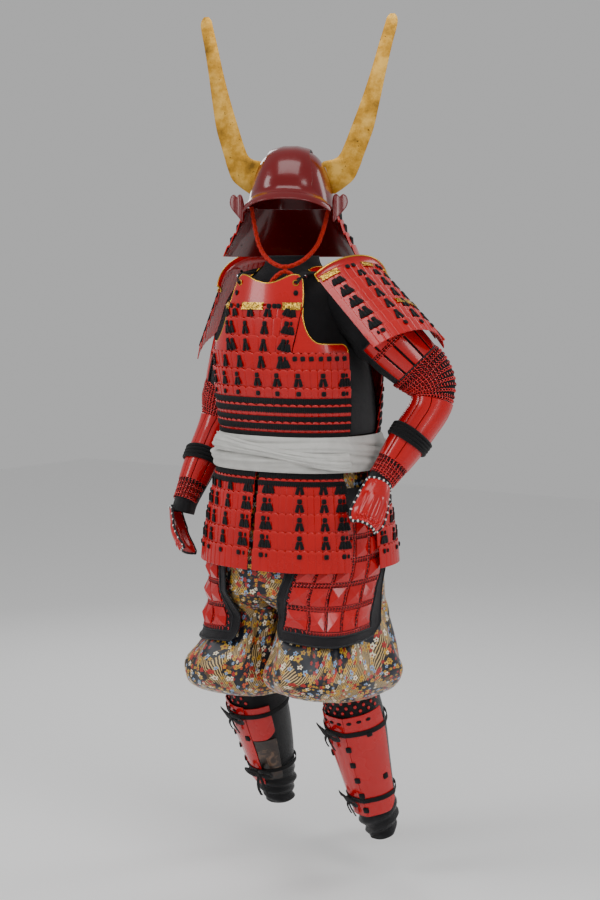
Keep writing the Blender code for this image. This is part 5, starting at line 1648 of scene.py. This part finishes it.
def cross_skin(first=-128, last=-24, half_at=0.017, lift=0.0212):
    def place(u, v, out):
        turn = between(first, last, u)
        run = (turn + 128) / 104
        middle = between(1.106, 1.066, 0.5 - 0.5 * math.cos(math.pi * min(1.0, max(0.0, run))))
        lane = 2 * v - 1
        half = half_at + 0.004 * math.cos(2 * math.pi * run)
        fold = 0.0024 * (abs(math.sin(4.5 * lane + 3 * run)) - 0.5) + 0.0016 * (abs(math.sin(8 * lane - 4 * run)) - 0.5)
        return round_form(BELT_FORM, turn, middle + lane * half, lift - 0.0048 * lane * lane + fold + out)

    return place


def make_sash(shapes):
    wrap = surface("sash_wrap_cloth", sash_skin, 180, 34, 0.002, (1.26, 0.10), closed=True, angle=80)
    settle(wrap, "white", "sash_wrap")
    cross = surface("sash_cross_cloth", cross_skin(), 80, 20, 0.0022, (0.36, 0.045), round_edge=0.0006, angle=80)
    settle(cross, "white", "sash_cross")


# Skirt

SKIRT_COLUMNS = {
    "front_left": ((-0.10, 0.45), (-0.79, 0.89)),
    "front_right": ((-0.40, -0.05, 0.40), (-0.85, 0.89)),
    "side_left": ((0.0,), (-0.75, 0.75)),
    "side_right": ((0.0,), (-0.75, 0.75)),
    "back_left": ((-0.25, 0.25), (-0.80, 0.80)),
    "back_right": ((-0.25, 0.25), (-0.80, 0.80)),
}


def make_skirt(shapes):
    for name, (first, last) in SKIRT_PANELS.items():
        width = math.radians(last - first) * 0.215

        def skin(share, height, out, first=first, last=last):
            return round_form(SKIRT, between(first, last, (share + 1) / 2), height, out)

        panel = Lames(f"skirt_{name}", skin, scales_in(width, 0.9), width)
        columns, doubles = SKIRT_COLUMNS[name]
        loops = max(8, round(width / 0.0058))
        ends = (*SKIRT_TOPS[1:], SKIRT_BOTTOM)
        for k, (top, low) in enumerate(zip(SKIRT_TOPS, ends)):
            panel.row(top, low, k == 5)
            if k == 0:
                panel.band(top - 0.002, low + 0.0015, top, low - 0.0065, loops, lift=0.0014)
            elif k == 1:
                panel.band(top - 0.0055, top - 0.0165, top, low, loops, lift=0.0012)
                panel.lace(top, low, columns, doubles, knots=False, pair_rise=0.0105)
            elif k < 5:
                panel.lace(top, low, columns, doubles)
            else:
                panel.lace(top, low, columns, doubles, pairs=False)
        panel.finish(shapes, f"skirt_{name}")


# Thigh guards

def make_thigh_guards(shapes):
    border_u, border_v = 0.085, 0.080
    for side in (LEFT, RIGHT):
        name = SIDE_NAMES[side]

        def skin(u, v, out, side=side):
            return thigh_point(side, u, v, out)

        cloth = surface(f"thigh_guard_{name}_cloth", lambda u, v, o: skin(u, v, THIGH_CLOTH + o), 60, 60, 0.0026,
                        (0.27, 0.36), angle=80)
        settle(cloth, "border", f"thigh_guard_{name}")
        # Field of studs: between the border and STUDS_TOP
        pitch_u, pitch_v = (1 - 2 * border_u) / STUD_COLUMNS, (STUDS_TOP - border_v) / STUD_ROWS
        width = (skin(1 - border_u, 0.4, 0) - skin(border_u, 0.4, 0)).length * 1.05
        tall = (skin(0.5, STUDS_TOP, 0) - skin(0.5, border_v, 0)).length
        studs = []
        for r in range(STUD_ROWS):
            for c in range(STUD_COLUMNS):
                left, low_v = border_u + pitch_u * (c + 0.10), border_v + pitch_v * (r + 0.12)

                def stud(u, v, out, left=left, low_v=low_v, skin=skin):
                    walk, part = divmod(min(u, 0.9999) * 4, 1)
                    x, y = ((part, 0), (1, part), (1 - part, 1), (0, 1 - part))[int(walk)]
                    x, y = between(x, 0.5, v), between(y, 0.5, v)
                    lift = THIGH_CLOTH + between(0.0034, STUD_HEIGHT + 0.0016, v)
                    return skin(left + pitch_u * 0.80 * x, low_v + pitch_v * 0.76 * y, lift + out)

                studs.append(surface("stud", stud, 8, 3, 0.0, (0.14, 0.02), closed=True, angle=12))
                rims = lambda u, v, out, stud=stud: stud(u, 0.0, out - 0.0030 * (1 - v))
                studs.append(surface("stud", rims, 8, 1, 0.0, (0.14, 0.003), closed=True, angle=12))
        settle(join(f"thigh_guard_{name}_studs", studs), "lacquer")

        def on_strip(u, v):
            cu = abs((u * STUD_COLUMNS) % 1 - 0.5) * 2
            cv = abs((v * STUD_ROWS) % 1 - 0.5) * 2
            return cu > 0.78 or cv > 0.74

        def field(u, v, out, skin=skin):
            return skin(between(border_u, 1 - border_u, u), between(border_v, STUDS_TOP, v), THIGH_CLOTH + out)

        mail_on(f"thigh_guard_{name}_mail", field, width, tall, keep=on_strip)
        for k, (du, dv) in enumerate(((0.004, 0.004), (0.070, 0.064))):
            def inset(u, v, out, du=du, dv=dv, skin=skin):
                return skin(between(du, 1 - du, u), between(dv, 0.995, v), THIGH_CLOTH + out)
            edge_rod(f"thigh_guard_{name}_piping_{k}", inset, ("right", "bottom", "left"), 0.0021, "piping",
                     inset=0.0004)


# Trousers

def fold_of_leg(side, turn, height):
    """Deep upright folds that start at the waist and bunch over the hem, in metres."""
    full = math.sin(math.pi * min(1.0, max(0.0, (0.80 - height) / 0.34)))
    wander = 0.7 * soft(height * 9, side * 5.0)
    main = math.sin(math.radians(turn) * 9 + height * 30 * side + wander)
    fine = soft(math.cos(math.radians(turn)) * 5 + height * 4, math.sin(math.radians(turn)) * 5, height * 16 + side)
    return full * (0.0062 * main + 0.0050 * fine)


def leg_skin(side):
    def place(u, v, out):
        seam = crotch_point(side, u, out)
        ring = [seam - Vector((0, 0, SEAM_GAP)), seam.lerp(leg_ellipse(side, TROUSER_LEGS[side][0], u, out), 0.5)]
        for k, row in enumerate(TROUSER_LEGS[side]):
            if k < LOOSE_ROWS:
                ring.append(leg_ellipse(side, row, u, out + fold_of_leg(side, leg_turn(u), row[0])))
            else:
                ring.append(leg_ellipse(side, row, u) - Vector((0, 0, out)))
        return through(ring, v)

    return place


def make_trousers(shapes):
    def seat(u, v, out):
        turn = 360 * u - 90
        height = between(1.095, CROTCH, v)
        ripple = 0.0020 * soft(math.cos(math.radians(turn)) * 6, math.sin(math.radians(turn)) * 6, height * 7)
        return round_form(SEAT, turn, height, out + min(0.0, ripple))

    piece = surface("trouser_seat_silk", seat, 120, 40, CLOTH, (1.20, 0.36), closed=True, angle=80)
    settle(piece, "silk", "trouser_seat")
    for side in (LEFT, RIGHT):
        name = SIDE_NAMES[side]
        piece = surface(f"trouser_leg_{name}_silk", leg_skin(side), 124, 76, CLOTH, (0.86, 0.42), closed=True, angle=80)
        settle(piece, "silk", f"trouser_leg_{name}")


# Lower legs

def shin_crease(along, angle):
    return 0.0045 * max(0.0, 1 - abs(angle) / 18)


def ribbon(name, points, width, normal_at, finish):
    """A flat ribbon along points."""
    line = smooth_route([Vector(p) for p in points], 40)

    def place(u, v, out):
        i = min(39, round(v * 39))
        ahead = (line[min(i + 1, 39)] - line[max(i - 1, 0)]).normalized()
        facing = Vector(normal_at)
        sideways = ahead.cross(facing).normalized()
        facing = sideways.cross(ahead).normalized()
        return line[i] + sideways * (width * (u - 0.5)) + facing * (out + 0.0006 * math.cos(math.pi * (2 * u - 1)))

    return settle(surface(name, place, 6, 39, 0.0014, (width, route_length(line)), angle=60), finish)


def make_lower_legs(shapes):
    for side in (LEFT, RIGHT):
        name, limb = SIDE_NAMES[side], LEGS[side]

        def fold(along, angle, side=side):
            slack = max(0.0, min(1.0, (along - 0.66) / 0.15))
            ripple = soft(along * 22, math.sin(math.radians(angle)) * 1.5, math.cos(math.radians(angle)) * 1.5 + side)
            return leg_fold(along, angle) * 0.9 + 0.0030 * slack * ripple - 0.0008

        skin = limb_skin(limb, 0, 360, 0.0, 1.0, 0.0, fold=fold)
        legging = surface(f"legging_{name}_satin", skin, 54, 84, CLOTH, (0.40, limb.length), closed=True, angle=80)
        settle(legging, "satin", f"legging_{name}")

        top = SHIN_TOP[side]
        lift = SHIN_LIFT + PLATE
        halves = []
        for k, (first, last) in enumerate(((-66, -0.4), (0.4, 80))):
            trim = (lambda a: 0.05 * max(0.0, (a - 54) / 26) ** 2) if k else None
            plate = limb_skin(limb, first, last, top, 0.83, lift, trim=trim, fold=shin_crease)
            halves.append(surface(f"shin_plate_{name}_{k}", plate, 28, 48, 0.0026, (0.08, 0.30), round_edge=0.0007))
        settle(join(f"shin_guard_{name}_plates", halves), "lacquer", f"shin_guard_{name}")
        whole = limb_skin(limb, -66, 80, top, 0.83, lift, trim=lambda a: 0.05 * max(0.0, (a - 54) / 26) ** 2,
                          fold=shin_crease)
        edge_rod(f"shin_guard_{name}_rim", whole, ("bottom",), 0.0013, "lacquer", inset=-0.001)
        knots = []
        for along in (0.40, 0.50, 0.60, 0.70, 0.79):
            knots.append(frame_at(lambda a, s, o: limb.point(-s, a, lift + 0.0045 + o), 0.0, -along, 0.001, 0.03))
        for along, angle in ((0.33, -42), (0.33, 42), (0.47, -58), (0.62, 60), (0.76, -52)):
            knots.append(frame_at(lambda a, s, o: limb.point(-s, a, lift + o), angle, -along, 0.001, 0.03))
        square = template("cube", (0.0145, 0.0150, 0.0055), 0.0022)
        settle(stamp(f"shin_guard_{name}_knots", square, knots), "braid")
        spots = [frame_at(lambda a, s, o: limb.point(-s, a, lift + shin_crease(-s, a) + o), angle, -top - 0.030, 0.0006,
                          0.003) for angle in (-44, -26, -8, 10, 28, 46)]
        settle(stamp(f"shin_guard_{name}_top_ovals", template("bead", (0.0135, 0.0085, 0.0040)), spots), "braid")
        dots = []
        for row, along in enumerate((0.150, 0.176, 0.202)):
            for k in range(9):
                angle = -72 + 18 * k + 9 * (row % 2)
                dots.append(frame_at(lambda a, s, o: limb.point(-s, a, o), angle, -along * top / 0.22, 0.0012, 0.003))
        settle(stamp(f"knee_cloth_{name}_dots", template("bead", (0.0085, 0.0095, 0.0034)), dots), "lacquer")
        inner = limb_skin(limb, -116, -67.2, top + 0.010, 0.49, lift,
                          trim=lambda a: 0.05 * max(0.0, (-a - 92) / 24) ** 2)
        settle(surface(f"shin_inner_plate_{name}_lacquered", inner, 18, 20, 0.0026, (0.055, 0.10), round_edge=0.0007),
               "lacquer", f"shin_inner_plate_{name}")
        patch = limb_skin(limb, -116, -66.4, 0.498, 0.80, 0.0042,
                          fold=lambda s, a: 0.0008 * soft(s * 30, a * 0.05, side))
        settle(surface(f"shin_leather_{name}_patch", patch, 20, 30, 0.0024, (0.055, 0.15), round_edge=0.0008),
               "leather", f"shin_leather_{name}")
        make_leg_ties(side, lift)


def make_leg_ties(side, lift):
    """Two flat bands round the shin guard, each ending in a bow with hanging ends."""
    name, limb = SIDE_NAMES[side], LEGS[side]
    for k, (along, bow_angle) in enumerate(((0.315, -38), (0.735, -42 if side == LEFT else -60))):
        def band(u, v, out, along=along):
            angle = 360 * u
            turn = angle if angle < 180 else angle - 360
            crease = shin_crease(along, turn)
            slack = 0.006 * math.sin(math.radians(angle - 30))
            off_plate = max(0.0, turn - 80, (-116 if along < 0.5 else -66) - turn) / 14
            rest = between(lift + crease + 0.0026, 0.0050, min(1.0, off_plate))
            return limb.point(along + slack + (0.5 - v) * 0.026, angle, rest + out)

        settle(surface(f"leg_tie_{name}_{k}", band, 90, 4, 0.0016, (0.45, 0.010), closed=True, angle=60), "braid")

        def on_leg(angle, down, out, along=along):
            return limb.point(along + down / limb.length, angle, lift + 0.006 + out)

        knot = frame_at(lambda a, s, o: on_leg(a, -s, o), bow_angle, 0.0, 0.0, 0.003)
        facing = on_leg(bow_angle, 0, 0.01) - on_leg(bow_angle, 0, 0)
        settle(stamp(f"leg_tie_{name}_{k}_knot", template("cube", (0.017, 0.016, 0.012), 0.004), [knot]), "braid")
        long_end = 0.075 if side == RIGHT and k else 0.046
        for j, turn in enumerate((-1, 1)):
            loop = [on_leg(bow_angle, 0, 0.002), on_leg(bow_angle + turn * 11, -0.012, 0.012),
                    on_leg(bow_angle + turn * 25, -0.008, 0.013), on_leg(bow_angle + turn * 28, 0.006, 0.008),
                    on_leg(bow_angle + turn * 13, 0.010, 0.004), on_leg(bow_angle, 0.002, 0.002)]
            ribbon(f"leg_tie_{name}_{k}_loop_{j}", loop, 0.011, facing, "braid")
            tail = [on_leg(bow_angle, 0.003, 0.003), on_leg(bow_angle + turn * 6, long_end * 0.4, 0.007),
                    on_leg(bow_angle + turn * 9, long_end * 0.7, 0.006), on_leg(bow_angle + turn * 10, long_end, 0.003)]
            end = ribbon(f"leg_tie_{name}_{k}_end_{j}", tail, 0.0085, facing, "braid")
            route = smooth_route(tail, 40)


# Yoke

def make_yoke(shapes):
    """The cloth yoke with its collar, cut open where the sleeves join."""
    heights = [1.126, 1.24, 1.34, 1.40, 1.445, 1.475, 1.500, 1.524, 1.552]

    def skin(u, v, out):
        height = through([Vector((h, 0.0, 0.0)) for h in heights], v).x
        return round_form(YOKE, 360 * u, height, out - 0.0002)

    yoke = surface("arming_yoke_cotton", skin, 80, 58, CLOTH, (0.95, 0.55), closed=True, angle=80)
    for side in (LEFT, RIGHT):
        cutter = sheet_mesh("armhole_cutter", limb_skin(ARMS[side], 0, 360, 0.0, 0.57, 0.0010), 48, 40, closed=True)
        pick(cutter)
        bpy.ops.object.mode_set(mode="EDIT")
        bpy.ops.mesh.select_all(action="SELECT")
        bpy.ops.mesh.fill_holes(sides=0)
        bpy.ops.mesh.normals_make_consistent(inside=False)
        bpy.ops.object.mode_set(mode="OBJECT")
        apply_modifier(yoke, "BOOLEAN", operation="DIFFERENCE", object=cutter, solver="EXACT")
        bpy.data.objects.remove(cutter)
    settle(yoke, "cotton", "arming_yoke")
    collar = [round_form(YOKE, a, 1.551, 0.0003) for a in spread(0, 354, 60)]
    settle(rod("collar_edge", collar, 0.0018, closed=True), "piping")


# Stage

def light(name, place, target, size, power):
    lamp = bpy.data.lights.new(name, "AREA")
    lamp.shape, lamp.size, lamp.size_y = "RECTANGLE", size[0], size[1]
    lamp.energy = power
    made = bpy.data.objects.new(name, lamp)
    made.location = place
    made.rotation_euler = (Vector(target) - Vector(place)).to_track_quat("-Z", "Y").to_euler()
    bpy.context.scene.collection.objects.link(made)
    return made


def make_stage(shapes):
    alone()
    bpy.ops.mesh.primitive_plane_add(size=14.0, location=(0, 0, -HOLD_HEIGHT))
    floor = bpy.context.object
    floor.name = "studio_floor"
    material, _, _ = new_finish("studio_floor_paint", linear("F4F4F4"), 0.6)
    floor.data.materials.append(material)
    world = bpy.data.worlds.new("studio_world")
    bpy.context.scene.world = world
    world.use_nodes = True
    backdrop = world.node_tree.nodes["Background"]
    backdrop.inputs["Color"].default_value = (1.0, 1.0, 1.0, 1.0)
    backdrop.inputs["Strength"].default_value = 0.48
    lamps = [
        light("softbox_left", (-1.9, -2.6, 1.3), (0, 0, -0.3), (1.0, 2.2), 48),
        light("softbox_right", (3.2, -1.0, 1.1), (0, 0, -0.3), (1.0, 2.2), 44),
        light("softbox_top", (0.5, -1.0, 2.6), (0, 0, -0.2), (2.0, 1.4), 34),
        light("rim_left", (-2.4, 1.8, 0.9), (0, 0, 0.0), (0.8, 2.0), 18),
        light("rim_right", (1.6, 2.6, 0.9), (0, 0, 0.0), (0.8, 2.0), 18),
    ]
    turn, tilt = math.radians(35), math.radians(5.9)
    data = bpy.data.cameras.new("photo_camera")
    data.lens, data.sensor_width = 70, 36
    camera = bpy.data.objects.new("photo_camera", data)
    bpy.context.scene.collection.objects.link(camera)
    camera.location = (math.sin(turn) * 4.3, -math.cos(turn) * 4.3, 0.08)
    back = Vector((math.sin(turn) * math.cos(tilt), -math.cos(turn) * math.cos(tilt), math.sin(tilt)))
    camera.rotation_mode = "QUATERNION"
    camera.rotation_quaternion = (-back).to_track_quat("-Z", "Y")
    bpy.context.scene.camera = camera


# Add-on

class ArmourColours(bpy.types.PropertyGroup):
    """Colours that the finishes share."""
    lacquer: bpy.props.FloatVectorProperty(name="Lacquer", description="Red lacquer of the lames and plates",
                                           subtype="COLOR", size=3, min=0, max=1, default=linear("C40309"))
    dark_lacquer: bpy.props.FloatVectorProperty(name="Dark lacquer", description="Deep red of the helmet's plates",
                                                subtype="COLOR", size=3, min=0, max=1, default=linear("6E0308"))
    # Colour of the painted highlight along the scale heads' top edges
    painted_edge_highlight: bpy.props.FloatVectorProperty(name="Painted edge highlight", description="Paler lacquer along the scale heads",
                                             subtype="COLOR", size=3, min=0, max=1, default=linear("E8403C"))
    gold: bpy.props.FloatVectorProperty(name="Gold leaf", description="Gold leaf on the horns",
                                        subtype="COLOR", size=3, min=0, max=1, default=linear("BE8A2A"))


class Making(bpy.types.Operator):
    """What the makers of all groups of pieces share."""
    bl_options = {"REGISTER", "UNDO"}
    make = None

    def execute(self, context):
        before = len(bpy.data.objects)
        type(self).make(lacing_shapes())
        if len(bpy.data.objects) <= before:
            raise RuntimeError(f"{self.bl_label}: nothing was made")
        return {"FINISHED"}


class ARMOUR_OT_helmet(Making):
    """Helmet bowl, brow plate, horns, ear flaps and laced neck guard"""
    bl_idname, bl_label, make = "armour.helmet", "Helmet", make_helmet


class ARMOUR_OT_chin_cords(Making):
    """Braided cord under the chin and its two ends"""
    bl_idname, bl_label, make = "armour.chin_cords", "Chin cords", make_chin_cords


class ARMOUR_OT_cuirass(Making):
    """Laced cuirass with its smooth top plates, armpit plates and shoulder straps"""
    bl_idname, bl_label, make = "armour.cuirass", "Cuirass", make_cuirass


class ARMOUR_OT_shoulder_guards(Making):
    """Laced shoulder guards, their caps, ties and hanging cords"""
    bl_idname, bl_label, make = "armour.shoulder_guards", "Shoulder guards", make_shoulder_guards


class ARMOUR_OT_arms(Making):
    """Sleeves with their splints, mail, forearm plates and hand guards"""
    bl_idname, bl_label, make = "armour.arms", "Arms", make_arms


class ARMOUR_OT_sash(Making):
    """White sash wound round the waist and crossed at the front"""
    bl_idname, bl_label, make = "armour.sash", "Sash", make_sash


class ARMOUR_OT_skirt(Making):
    """Six laced skirt panels"""
    bl_idname, bl_label, make = "armour.skirt", "Skirt", make_skirt


class ARMOUR_OT_thigh_guards(Making):
    """Cloth thigh guards with studs set in mail"""
    bl_idname, bl_label, make = "armour.thigh_guards", "Thigh guards", make_thigh_guards


class ARMOUR_OT_trousers(Making):
    """Wide trousers of figured silk, gathered under the knee"""
    bl_idname, bl_label, make = "armour.trousers", "Trousers", make_trousers


class ARMOUR_OT_lower_legs(Making):
    """Leggings, shin guards, leather patches and their ties"""
    bl_idname, bl_label, make = "armour.lower_legs", "Lower legs", make_lower_legs


class ARMOUR_OT_yoke(Making):
    """Black cloth yoke with its collar"""
    bl_idname, bl_label, make = "armour.yoke", "Yoke", make_yoke


class ARMOUR_OT_stage(Making):
    """Floor, soft lights and camera"""
    bl_idname, bl_label, make = "armour.stage", "Stage", make_stage


MAKERS = (ARMOUR_OT_helmet, ARMOUR_OT_chin_cords, ARMOUR_OT_yoke, ARMOUR_OT_cuirass, ARMOUR_OT_shoulder_guards,
          ARMOUR_OT_arms, ARMOUR_OT_sash, ARMOUR_OT_skirt, ARMOUR_OT_thigh_guards, ARMOUR_OT_trousers,
          ARMOUR_OT_lower_legs, ARMOUR_OT_stage)


class ARMOUR_PT_panel(bpy.types.Panel):
    """Makers and sizes of the armour"""
    bl_label, bl_idname = "Laced armour", "ARMOUR_PT_panel"
    bl_space_type, bl_region_type, bl_category = "VIEW_3D", "UI", "Armour"

    def draw(self, context):
        for group in (context.scene.armour_sizes, context.scene.armour_colours):
            for key in group.bl_rna.properties.keys():
                if key not in ("rna_type", "name"):
                    self.layout.prop(group, key)
        for maker in MAKERS:
            self.layout.operator(maker.bl_idname)


CLASSES = (ArmourSizes, ArmourColours, *MAKERS, ARMOUR_PT_panel)


def register():
    for made in CLASSES:
        bpy.utils.register_class(made)
    bpy.types.Scene.armour_sizes = bpy.props.PointerProperty(type=ArmourSizes)
    bpy.types.Scene.armour_colours = bpy.props.PointerProperty(type=ArmourColours)


def unregister():
    del bpy.types.Scene.armour_sizes
    del bpy.types.Scene.armour_colours
    for made in reversed(CLASSES):
        bpy.utils.unregister_class(made)


def main():
    register()
    for maker in MAKERS:
        group, name = maker.bl_idname.split(".")
        getattr(getattr(bpy.ops, group), name)()
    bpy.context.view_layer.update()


if __name__ == "__main__":
    main()
